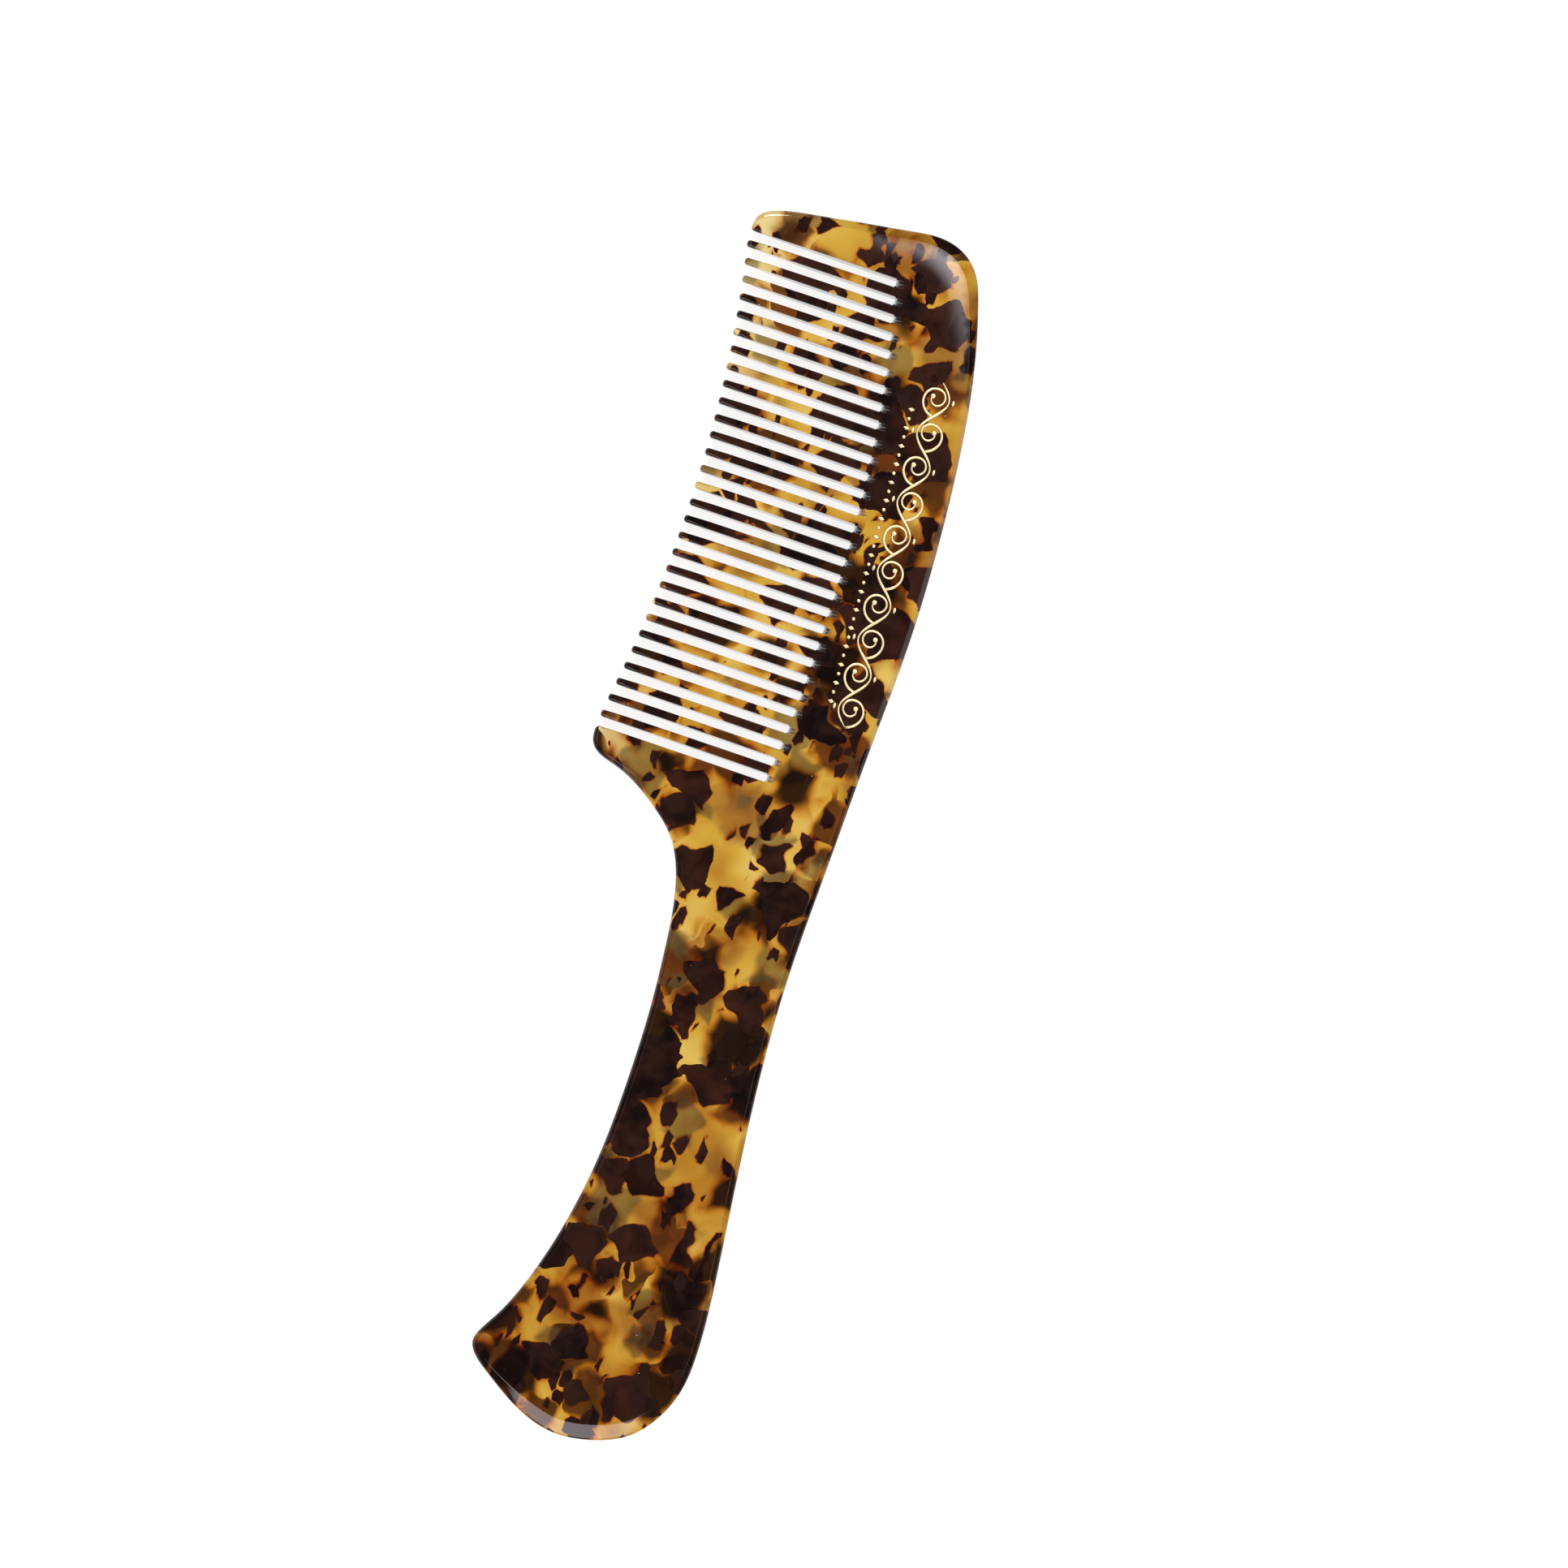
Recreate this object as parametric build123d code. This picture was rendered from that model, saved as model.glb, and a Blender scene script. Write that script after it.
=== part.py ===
"""Handled detangling comb, sawn and filed from one slab of tortoiseshell acetate.

The comb lies on its flat back with its front face up. X runs along the comb, from the toe of
the tooth row at -X to the butt of the handle at +X. The teeth point to -Y. Z is the thickness.
The acetate is one piece in life. Here it is divided, face to face, into the regions that a
comb maker names: spine, handle, the two guards and each tooth.
"""
from build123d import *
from math import asin, cos, degrees, exp, hypot, pi, sin
import os

# Slab
THICKNESS = 4.8
BEVEL_DEPTH = 1.2          # how far the bevel round the outline drops below each face

# Tooth row
TEETH = 29
TOOTH_PITCH = 2.95
SLOT_WIDTH = 1.45
FIRST_WALL_X = -96.0       # the toe guard's wall of the first slot
TOOTH_TIP_WIDTH = 1.26
TOOTH_TIP_RADIUS = 0.5
GUARD_TIP_RADIUS = 0.7
SLOT_COUNT = TEETH + 1
LAST_WALL_X = FIRST_WALL_X + TEETH * TOOTH_PITCH + SLOT_WIDTH

# The tooth tips lie on one arc, hollow towards the hair
TIP_ARC_RADIUS = 227.5
TIP_ARC_X = -45.7
TIP_ARC_TOP_Y = -21.2

# The slot roots follow the spine: a long fall to the toe and a short one to the heel
ROOT_CREST = (-26.0, 7.0)
ROOT_FALL_TOE = 7.6
ROOT_RUN_TOE = 69.3
ROOT_POWER_TOE = 2.56
ROOT_RUN_HEEL = 16.4

# The saw leaves each root sloping, longer on the front face, and narrower than the slot
RUNOUT_LENGTH = 1.6
RUNOUT_WIDTH = 1.05

# Both faces are planed down towards the tips
PLANED_FROM_Y = -11.0
PLANED_ANGLE = 5.0

# Where the regions of the slab meet
HEEL_END_X = 3.0

# Gilt decoration stamped on the front face of the spine
FOIL_THICKNESS = 0.05
VINE_START = (-82.0, 12.4)
VINE_END = (-22.0, 15.7)
VINE_STROKE = 0.36
VINE_WAVES = 5
VINE_SWING = 1.9
CURL_DROP = 0.35           # how far a curl's eye sits off the vine's middle line
CURL_TURNS = 1.35
CURL_TIGHTNESS = 0.17
CURL_POINTS = 11
BUD_RADIUS = 0.42
LEAF_OFFSET = 2.65
LEAF_HALF = (0.8, 0.26)
BEAD_START = (-76.0, 8.9)
BEAD_END = (-25.4, 12.1)
BEAD_COUNT = 33
BEAD_RADIUS = 0.3
LOZENGE_HALF = (0.36, 0.62)

# Outline stations (x, y, width of the bevel there), anticlockwise seen from the front
TOE_TIP = [(-98.9, -25.95, 1.1), (-97.0, -26.5, 1.0)]
HEEL = [
    (-8.3, -23.75, 1.0),
    (-6.1, -23.35, 1.0),
    (-4.8, -22.1, 1.0),
    (-3.7, -19.0, 1.0),
    (-1.7, -14.2, 1.0),
    (0.9, -10.2, 1.0),
    (4.4, -6.2, 1.0),
    (9.4, -3.35, 1.0),
]
HANDLE_UNDERSIDE = [
    (21.6, -0.8, 1.0),
    (33.7, 0.3, 1.0),
    (45.8, 0.6, 1.0),
    (58.0, 0.3, 1.0),
    (70.1, -1.2, 1.0),
    (82.0, -4.15, 1.0),
    (89.8, -7.4, 1.0),
]
BUTT = [
    (93.0, -9.15, 1.0),
    (94.9, -9.6, 1.0),
    (96.9, -8.5, 1.0),
    (98.9, -5.9, 1.1),
    (103.2, 1.4, 2.1),
    (105.0, 8.2, 2.4),
    (104.1, 14.5, 2.5),
    (101.4, 20.2, 2.4),
    (97.4, 23.65, 2.0),
    (91.6, 26.0, 1.2),
    (84.8, 26.5, 1.0),
]
HANDLE_TOP = [(70.1, 25.2, 1.0), (51.9, 22.9, 1.0), (33.7, 21.05, 1.0), (18.5, 20.4, 1.0)]
SPINE_TOP = [
    (3.4, 20.55, 1.0),
    (-20.9, 20.95, 0.9),
    (-39.1, 21.3, 0.8),
    (-51.2, 20.9, 0.8),
    (-69.4, 19.35, 0.8),
    (-87.7, 16.25, 1.1),
]
TOE = [
    (-96.7, 13.65, 1.6),
    (-101.1, 11.7, 1.9),
    (-104.0, 8.45, 1.9),
    (-105.05, 4.5, 1.8),
    (-104.5, -1.1, 1.6),
    (-103.2, -9.2, 1.5),
    (-101.85, -17.3, 1.3),
    (-100.55, -23.3, 1.2),
]
TIP_STATIONS_X = (-94.0, -80.0, -62.5, -45.7, -29.0, -14.0)
TIP_BEVEL = 1.0


def tip_y(x):
    """The arc that the tooth tips end on."""
    across = x - TIP_ARC_X
    return TIP_ARC_TOP_Y - TIP_ARC_RADIUS + (TIP_ARC_RADIUS**2 - across**2) ** 0.5


def root_y(x):
    """The line where the slots end on the back face."""
    crest_x, crest_y = ROOT_CREST
    if x < crest_x:
        return crest_y - ROOT_FALL_TOE * ((crest_x - x) / ROOT_RUN_TOE) ** ROOT_POWER_TOE
    return crest_y - ((x - crest_x) / ROOT_RUN_HEEL) ** 2


def slot_x(index):
    """The middle of a slot, counted from the toe."""
    return FIRST_WALL_X + SLOT_WIDTH / 2 + index * TOOTH_PITCH


def outline_stations():
    """Every station of the closed outline, anticlockwise from the toe guard's tip."""
    tips = [(x, tip_y(x), TIP_BEVEL) for x in TIP_STATIONS_X]
    return TOE_TIP + tips + HEEL + HANDLE_UNDERSIDE + BUTT + HANDLE_TOP + SPINE_TOP + TOE


def inset(stations):
    """The stations moved square to the outline, inwards, by their own bevel widths."""
    moved = []
    for index, (x, y, width) in enumerate(stations):
        before = stations[index - 1]
        after = stations[(index + 1) % len(stations)]
        along = (after[0] - before[0], after[1] - before[1])
        size = hypot(*along)
        moved.append((x - width * along[1] / size, y + width * along[0] / size))
    return moved


def ring(points, parameters, z):
    """A closed smooth wire through the points at one height."""
    curve = Edge.make_spline([Vector(x, y, z) for x, y in points], parameters=parameters, periodic=True)
    return Face(Wire([curve]))


def make_slab():
    """The whole bevelled slab, before the slots are sawn."""
    stations = outline_stations()
    outer = [(x, y) for x, y, _ in stations]
    inner = inset(stations)
    closed = outer + outer[:1]
    lengths = [hypot(b[0] - a[0], b[1] - a[1]) for a, b in zip(closed[:-1], closed[1:])]
    parameters = [sum(lengths[:count]) / sum(lengths) for count in range(len(closed))]
    rings = [
        ring(inner, parameters, 0),
        ring(outer, parameters, BEVEL_DEPTH),
        ring(outer, parameters, THICKNESS - BEVEL_DEPTH),
        ring(inner, parameters, THICKNESS),
    ]
    return loft(rings, ruled=True)


def planing_cutters():
    """Two wedges that thin the tooth row towards its tips, one on each face."""
    reach = 40
    front = Pos(0, PLANED_FROM_Y, THICKNESS) * Rot(PLANED_ANGLE, 0, 0)
    back = Pos(0, PLANED_FROM_Y, 0) * Rot(-PLANED_ANGLE, 0, 0)
    wedge = Box(240, reach, 10)
    return (front * Pos(0, -reach / 2, 5) * wedge, back * Pos(0, -reach / 2, -5) * wedge)


def saw_cut(index):
    """One slot with its sloping, narrower run-out at the root."""
    x = slot_x(index)
    y = root_y(x)
    floor_y = tip_y(x) - 8
    slot = Pos(x, (y + floor_y) / 2, THICKNESS / 2) * Box(SLOT_WIDTH, y - floor_y, THICKNESS + 2)
    slope = Polyline((y - 0.4, 0), (y, 0), (y + RUNOUT_LENGTH, THICKNESS), (y - 0.4, THICKNESS), close=True)
    side = Plane(origin=(x - RUNOUT_WIDTH / 2, 0, 0), x_dir=(0, 1, 0), z_dir=(1, 0, 0))
    return slot + extrude(side * make_face(slope), RUNOUT_WIDTH)


def tooth_prism(index):
    """The upright block that holds one tooth: it narrows to a rounded tip."""
    x = slot_x(index) + TOOTH_PITCH / 2
    root_half = (TOOTH_PITCH - SLOT_WIDTH) / 2
    tip_half = TOOTH_TIP_WIDTH / 2
    top = min(root_y(slot_x(index)), root_y(slot_x(index + 1)))
    bottom = tip_y(x)
    blade = make_face(
        Polyline((x - root_half, top), (x - tip_half, bottom), (x + tip_half, bottom), (x + root_half, top), close=True)
    )
    ends = blade.vertices().sort_by(Axis.Y)[:2]
    return extrude(fillet(ends, TOOTH_TIP_RADIUS), THICKNESS)


def block(x_low, x_high, y_low, y_high):
    """A plain block through the whole thickness, used to divide the slab."""
    centre = Pos((x_low + x_high) / 2, (y_low + y_high) / 2, THICKNESS / 2)
    return centre * Box(x_high - x_low, y_high - y_low, THICKNESS + 2)


def round_guard_tip(guard, wall_x):
    """Rounds the upright edge where a guard's tip meets its slot."""
    upright = guard.edges().filter_by(Axis.Z).filter_by_position(Axis.X, wall_x - 0.01, wall_x + 0.01)
    return fillet(upright.sort_by(Axis.Y)[0], GUARD_TIP_RADIUS)


def divide(slab):
    """The regions of the slab by name."""
    toe_top = root_y(slot_x(0))
    heel_top = root_y(slot_x(SLOT_COUNT - 1))
    toe_area = block(-120, FIRST_WALL_X, -40, toe_top)
    heel_area = block(LAST_WALL_X, HEEL_END_X, -40, heel_top)
    row_area = block(FIRST_WALL_X, LAST_WALL_X, -40, toe_top)
    regions = {
        "handle": slab & block(HEEL_END_X, 120, -40, 40),
        "toe_guard": slab & toe_area,
        "heel_guard": slab & heel_area,
    }
    spine = slab & block(-120, HEEL_END_X, -40, 40)
    spine = spine - toe_area - heel_area - row_area
    for index in range(SLOT_COUNT):
        spine = spine - saw_cut(index)
    for index in range(TEETH):
        x = slot_x(index) + TOOTH_PITCH / 2
        half = (TOOTH_PITCH - SLOT_WIDTH) / 2
        top = min(root_y(slot_x(index)), root_y(slot_x(index + 1)))
        spine = spine - block(x - half, x + half, -40, top)
        regions[f"tooth_{index + 1:02d}"] = slab & tooth_prism(index)
    regions["spine"] = spine
    return regions


def along(start, end, share):
    """The point at a share of the way between two points."""
    return tuple(a + (b - a) * share for a, b in zip(start, end))


def foil(sketch):
    """A sketch turned into foil lying on the front face."""
    return extrude(Pos(0, 0, THICKNESS) * sketch, FOIL_THICKNESS)


def curl_points(bend, half_wave):
    """A spiral that leaves the stem at the end of a bend and winds up in its hollow."""
    side = -1 if bend % 2 else 1
    points = []
    for step in range(CURL_POINTS):
        turn = CURL_TURNS * 2 * pi * step / (CURL_POINTS - 1)
        radius = half_wave / 2 * exp(-CURL_TIGHTNESS * turn)
        x = (bend + 0.5) * half_wave + radius * cos(turn)
        fade = step / (CURL_POINTS - 1)
        points.append((x, -side * (CURL_DROP * fade + radius * sin(turn))))
    return points


def make_vine():
    """A running vine: a waving stem with a curl, a bud and a leaf at each bend."""
    rise = VINE_END[1] - VINE_START[1]
    length = hypot(VINE_END[0] - VINE_START[0], rise)
    tilt = Pos(*VINE_START) * Rot(0, 0, degrees(asin(rise / length)))
    half_wave = length / VINE_WAVES / 2
    steps = VINE_WAVES * 4
    stem = [(length * step / steps, VINE_SWING * sin(step * pi / 2)) for step in range(steps + 1)]
    vine = trace(Spline(*stem), VINE_STROKE)
    for bend in range(VINE_WAVES * 2):
        side = -1 if bend % 2 else 1
        points = curl_points(bend, half_wave)
        vine += trace(Spline(*points), VINE_STROKE)
        vine += Pos(*points[-1]) * Circle(BUD_RADIUS)
        vine += Pos((bend + 0.5) * half_wave, side * LEAF_OFFSET) * Ellipse(*LEAF_HALF)
    return foil(tilt * vine)


def make_beads():
    """A row of small lozenges and dots under the vine."""
    beads = []
    for index in range(BEAD_COUNT):
        place = Pos(*along(BEAD_START, BEAD_END, index / (BEAD_COUNT - 1)))
        wide, high = LOZENGE_HALF
        lozenge = make_face(Polyline((-wide, 0), (0, -high), (wide, 0), (0, high), close=True))
        beads.append(foil(place * (Circle(BEAD_RADIUS) if index % 2 else lozenge)))
    return Compound(beads)


def main():
    """Builds every node and writes one STEP file for each."""
    os.makedirs("parts", exist_ok=True)
    slab = make_slab()
    for cutter in planing_cutters():
        slab = slab - cutter
    nodes = divide(slab)
    nodes["toe_guard"] = round_guard_tip(nodes["toe_guard"], FIRST_WALL_X)
    nodes["heel_guard"] = round_guard_tip(nodes["heel_guard"], LAST_WALL_X)
    nodes["gilt_vine"] = make_vine()
    nodes["gilt_beads"] = make_beads()
    for name, shape in nodes.items():
        export_step(shape, f"parts/{name}.step")


main()
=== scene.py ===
"""Handled detangling comb in tortoiseshell acetate: the visual model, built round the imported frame.

The comb lies on its back with the front face up: X runs from the toe of the tooth row to the butt
of the handle, the teeth point to -Y and Z is the thickness. The acetate is shaped once, as one
slab with its slots, bevels and saw run-outs, and is then parted into the same regions as the
frame's nodes. Sizes are in millimetres and become metres when a mesh is made.
"""

import logging
import math
from dataclasses import dataclass, field
from enum import Enum
from typing import Any, Sequence

import bpy
import numpy as np
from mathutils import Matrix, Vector
from mathutils.geometry import delaunay_2d_cdt


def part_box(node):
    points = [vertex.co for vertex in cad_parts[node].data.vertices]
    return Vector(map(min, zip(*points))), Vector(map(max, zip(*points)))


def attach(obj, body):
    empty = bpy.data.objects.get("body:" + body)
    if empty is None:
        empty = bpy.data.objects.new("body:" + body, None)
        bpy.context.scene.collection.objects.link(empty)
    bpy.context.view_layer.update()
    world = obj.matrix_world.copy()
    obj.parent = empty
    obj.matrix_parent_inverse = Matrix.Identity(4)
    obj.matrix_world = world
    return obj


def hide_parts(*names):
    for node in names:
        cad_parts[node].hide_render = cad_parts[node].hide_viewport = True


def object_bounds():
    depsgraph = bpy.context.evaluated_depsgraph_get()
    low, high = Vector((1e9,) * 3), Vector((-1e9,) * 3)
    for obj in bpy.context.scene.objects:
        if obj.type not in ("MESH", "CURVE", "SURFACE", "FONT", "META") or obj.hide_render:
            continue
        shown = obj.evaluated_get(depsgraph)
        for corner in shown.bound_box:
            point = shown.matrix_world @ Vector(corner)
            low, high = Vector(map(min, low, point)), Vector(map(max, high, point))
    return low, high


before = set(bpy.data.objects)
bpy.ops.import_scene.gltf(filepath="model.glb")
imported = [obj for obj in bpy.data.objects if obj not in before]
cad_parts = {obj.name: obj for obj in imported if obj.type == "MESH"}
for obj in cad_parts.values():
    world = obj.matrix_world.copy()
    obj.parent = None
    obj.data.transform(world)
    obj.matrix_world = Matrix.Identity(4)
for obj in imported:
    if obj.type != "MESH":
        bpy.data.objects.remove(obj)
CAD_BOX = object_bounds()

MM = 0.001
BODY = "root"
SAME_MM = 1e-6          # two heights closer than this are the same
NO_LENGTH = 1e-9        # a vector shorter than this has no direction
BLOCK = 512             # how many points are measured against the rim at a time
log = logging.getLogger("comb")

Point = tuple[float, float]
Station = tuple[float, float, float]


class Region(Enum):
    """The regions that the acetate is parted into, teeth aside."""

    SPINE = "spine"
    HANDLE = "handle"
    TOE_GUARD = "toe_guard"
    HEEL_GUARD = "heel_guard"


class Surface(Enum):
    """How a face of the acetate was finished. The value is its material slot."""

    POLISHED = 0
    SAWN = 1


def box_mm(node: str) -> tuple[np.ndarray, np.ndarray]:
    """A frame node's lowest and highest corners in millimetres.

    Args:
        node: the name of the node in the frame.

    Returns:
        The two corners as arrays of three numbers.
    """
    low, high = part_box(node)
    return np.array(low) / MM, np.array(high) / MM


def smoothstep(low: float, high: float, value: Any) -> Any:
    """Eases from 0 to 1.

    Args:
        low: where it is still 0.
        high: where it has come to 1.
        value: a number or an array.

    Returns:
        The eased share of each value.
    """
    share = np.clip((np.asarray(value, float) - low) / (high - low), 0.0, 1.0)
    return share * share * (3 - 2 * share)


def srgb(colour: str) -> tuple[float, float, float, float]:
    """Turns an sRGB hex value into a linear colour.

    Args:
        colour: six hex digits.

    Returns:
        Linear red, green, blue and an alpha of 1.
    """
    channels = [int(colour[k:k + 2], 16) / 255 for k in (0, 2, 4)]
    linear = [c / 12.92 if c <= 0.04045 else ((c + 0.055) / 1.055) ** 2.4 for c in channels]
    return linear[0], linear[1], linear[2], 1.0


def per_metre(size_mm: float) -> float:
    """The texture scale that gives features of this size, for coordinates in metres."""
    return 1.0 / (size_mm * MM)


def unit(vectors: np.ndarray) -> np.ndarray:
    """Scales each row to a length of 1."""
    return vectors / np.maximum(np.linalg.norm(vectors, axis=1), NO_LENGTH)[:, None]


def nearest_on(rim: np.ndarray, points: np.ndarray) -> tuple[np.ndarray, np.ndarray]:
    """Finds the rim vertex that is nearest to each point.

    Args:
        rim: x and y round the rim.
        points: x and y of each point.

    Returns:
        The vertices' numbers and how far off they are.
    """
    numbers, gaps = [], []
    for start in range(0, len(points), BLOCK):
        apart = np.linalg.norm(points[start:start + BLOCK, None] - rim[None], axis=2)
        numbers.append(np.argmin(apart, axis=1))
        gaps.append(apart.min(axis=1))
    return np.concatenate(numbers), np.concatenate(gaps)


def add_object(name: str, data: bpy.types.ID) -> bpy.types.Object:
    """Adds an object to the scene.

    Args:
        name: what to call it.
        data: its mesh, light or camera.

    Returns:
        The new object.
    """
    made = bpy.data.objects.new(name, data)
    bpy.context.scene.collection.objects.link(made)
    return made


def start_material(name: str, values: dict[str, Any]) -> tuple[bpy.types.Material, bpy.types.Node]:
    """Starts a material.

    Args:
        name: what it is and how its surface was made.
        values: constants for the main shader, by the name of the input.

    Returns:
        The material and its main shader.
    """
    material = bpy.data.materials.new(name)
    material.use_nodes = True
    shader = material.node_tree.nodes["Principled BSDF"]
    for socket, value in values.items():
        shader.inputs[socket].default_value = value
    return material, shader


def add_node(tree: bpy.types.NodeTree, kind: str, settings: dict[str, Any] | None = None,
             inputs: dict[Any, Any] | None = None) -> bpy.types.Node:
    """Adds one node with its settings and links.

    Args:
        tree: the node tree that it joins.
        kind: the node's type name.
        settings: properties to set on the node.
        inputs: values or output sockets by the name or number of the input.

    Returns:
        The new node.
    """
    node = tree.nodes.new(kind)
    for name, value in (settings or {}).items():
        setattr(node, name, value)
    for name, value in (inputs or {}).items():
        if isinstance(value, bpy.types.NodeSocket):
            tree.links.new(value, node.inputs[name])
        else:
            node.inputs[name].default_value = value
    return node


def set_ramp(node: bpy.types.Node, stops: Sequence[tuple[float, Sequence[float]]]) -> None:
    """Fills a colour ramp.

    Args:
        node: the ramp node.
        stops: a place from 0 to 1 and a linear colour with alpha for each stop.
    """
    elements = node.color_ramp.elements
    while len(elements) < len(stops):
        elements.new(0.5)
    for element, (place, colour) in zip(elements, stops):
        element.position = place
        element.color = colour


# ---------------------------------------------------------------------------- outline


class ClosedSpline:
    """A closed curve of continuous curvature through a few stations."""

    def __init__(self, stations: Sequence[Station]) -> None:
        """Solves the curve's bends.

        Args:
            stations: x, y and bevel width of each station, in order round the curve.
        """
        self.points = np.array(stations, float)
        count = len(self.points)
        chords = np.roll(self.points, -1, axis=0)[:, :2] - self.points[:, :2]
        self.steps = np.hypot(chords[:, 0], chords[:, 1])
        self.knots = np.concatenate([[0.0], np.cumsum(self.steps)])
        matrix = np.zeros((count, count))
        pull = np.zeros_like(self.points)
        for here in range(count):
            before, after = here - 1, (here + 1) % count
            matrix[here, before] += self.steps[before]
            matrix[here, here] += 2 * (self.steps[before] + self.steps[here])
            matrix[here, after] += self.steps[here]
            ahead = (self.points[after] - self.points[here]) / self.steps[here]
            behind = (self.points[here] - self.points[before]) / self.steps[before]
            pull[here] = 6 * (ahead - behind)
        self.bends = np.linalg.solve(matrix, pull)

    def sample(self, places: np.ndarray) -> tuple[np.ndarray, np.ndarray]:
        """Reads the curve at some places along it.

        Args:
            places: distances along the chords, in millimetres.

        Returns:
            The stations there and their rates of change.
        """
        places = np.mod(places, self.knots[-1])
        here = np.clip(np.searchsorted(self.knots, places, "right") - 1, 0, len(self.steps) - 1)
        after = (here + 1) % len(self.points)
        step = self.steps[here][:, None]
        back = (self.knots[here + 1][:, None] - places[:, None]) / step
        on = 1 - back
        start, end = self.points[here], self.points[after]
        bend_start, bend_end = self.bends[here], self.bends[after]
        value = back * start + on * end
        value += ((back**3 - back) * bend_start + (on**3 - on) * bend_end) * step**2 / 6
        rate = (end - start) / step
        rate += ((3 * on**2 - 1) * bend_end - (3 * back**2 - 1) * bend_start) * step / 6
        return value, rate


@dataclass(frozen=True)
class CombShape:
    """The sizes of the comb. Outline stations give x, y and the width of the bevel there."""

    toe_tip: Sequence[Station] = ((-98.9, -25.95, 1.1), (-97.0, -26.5, 1.0))
    tip_stations_x: Sequence[float] = (-94.0, -80.0, -62.5, -45.7, -29.0, -14.0)
    heel: Sequence[Station] = (
        (-8.3, -23.75, 1.0), (-6.1, -23.35, 1.0), (-4.8, -22.1, 1.0), (-3.7, -19.0, 1.0),
        (-1.7, -14.2, 1.0), (0.9, -10.2, 1.0), (4.4, -6.2, 1.0), (9.4, -3.35, 1.0),
    )
    handle_underside: Sequence[Station] = (
        (21.6, -0.8, 1.0), (33.7, 0.3, 1.0), (45.8, 0.6, 1.0), (58.0, 0.3, 1.0),
        (70.1, -1.2, 1.0), (82.0, -4.15, 1.0), (89.8, -7.4, 1.0),
    )
    butt: Sequence[Station] = (
        (93.0, -9.15, 1.0), (94.9, -9.6, 1.0), (96.9, -8.5, 1.0), (98.9, -5.9, 1.1),
        (103.2, 1.4, 2.1), (105.0, 8.2, 2.4), (104.1, 14.5, 2.5), (101.4, 20.2, 2.4),
        (97.4, 23.65, 2.0), (91.6, 26.0, 1.2), (84.8, 26.5, 1.0),
    )
    handle_top: Sequence[Station] = (
        (70.1, 25.2, 1.0), (51.9, 22.9, 1.0), (33.7, 21.05, 1.0), (18.5, 20.4, 1.0),
    )
    spine_top: Sequence[Station] = (
        (3.4, 20.55, 1.0), (-20.9, 20.95, 0.9), (-39.1, 21.3, 0.8), (-51.2, 20.9, 0.8),
        (-69.4, 19.35, 0.8), (-87.7, 16.25, 1.1),
    )
    toe: Sequence[Station] = (
        (-96.7, 13.65, 1.6), (-101.1, 11.7, 1.9), (-104.0, 8.45, 1.9), (-105.05, 4.5, 1.8),
        (-104.5, -1.1, 1.6), (-103.2, -9.2, 1.5), (-101.85, -17.3, 1.3), (-100.55, -23.3, 1.2),
    )
    tip_arc_radius: float = 227.5
    tip_arc_x: float = -45.7
    tip_arc_top_y: float = -21.2
    bevel_depth: float = 1.2
    guard_tip_radius: float = 0.7
    tooth_tip_width: float = 1.26
    tooth_tip_radius: float = 0.5
    tooth_tip_turns: Sequence[Sequence[float]] = ((180, 205, 230, 252, 270), (270, 288, 310, 335, 360))
    guard_tip_turns: Sequence[Sequence[float]] = ((180, 202, 225, 248), (270, 292, 315, 338))
    guard_tip_width: float = 0.62   # the widest that a guard tip's rounding gets
    guard_edge_width: float = 1.0
    edge_round: float = 0.1         # eased edge along the slots
    edge_round_depth: float = 0.16
    tip_round: float = 0.42         # the same at the tooth tips, where it becomes a nose
    tip_round_depth: float = 0.95
    tip_round_length: float = 4.2
    runout_length: float = 1.6
    runout_width: float = 1.05
    runout_sweep: float = 2.6       # the saw's round bottom: above 1, the run-out hollows
    runout_turns: Sequence[float] = (30, 60, 90)
    planed_from_y: float = -11.0
    planed_degrees: float = 5.0
    planed_blend: float = 2.2
    crisp_above_y: float = -12.0    # the bevel meets the face in a crisp line above here
    soft_below_y: float = -18.5     # and melts into it below here
    soft_depth_share: float = 0.8   # the soft round is shallower than the bevel
    bevel_room: float = 0.9         # a bevel takes no more than this share of half the slab
    crease_round: float = 0.09      # the buffing wheel's round on that crisp line
    dome_share: float = 0.11        # how far the buffed face falls at the bevel, per mm of bevel
    dome_reach: float = 5.5         # how far in from the bevel it starts to fall
    parting_drop: float = 0.5       # the parting lines lie this far under the slot roots
    heel_end_x: float = 3.0

    def tip_y(self, x: float) -> float:
        """The arc that the tooth tips end on."""
        across = x - self.tip_arc_x
        return self.tip_arc_top_y - self.tip_arc_radius + math.sqrt(self.tip_arc_radius**2 - across**2)

    def stations(self) -> list[Station]:
        """Puts the outline together.

        Returns:
            Every station, anticlockwise from the toe guard's tip.
        """
        tips = [(x, self.tip_y(x), 1.0) for x in self.tip_stations_x]
        rows = (self.toe_tip, tips, self.heel, self.handle_underside, self.butt,
                self.handle_top, self.spine_top, self.toe)
        return [station for row in rows for station in row]


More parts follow.
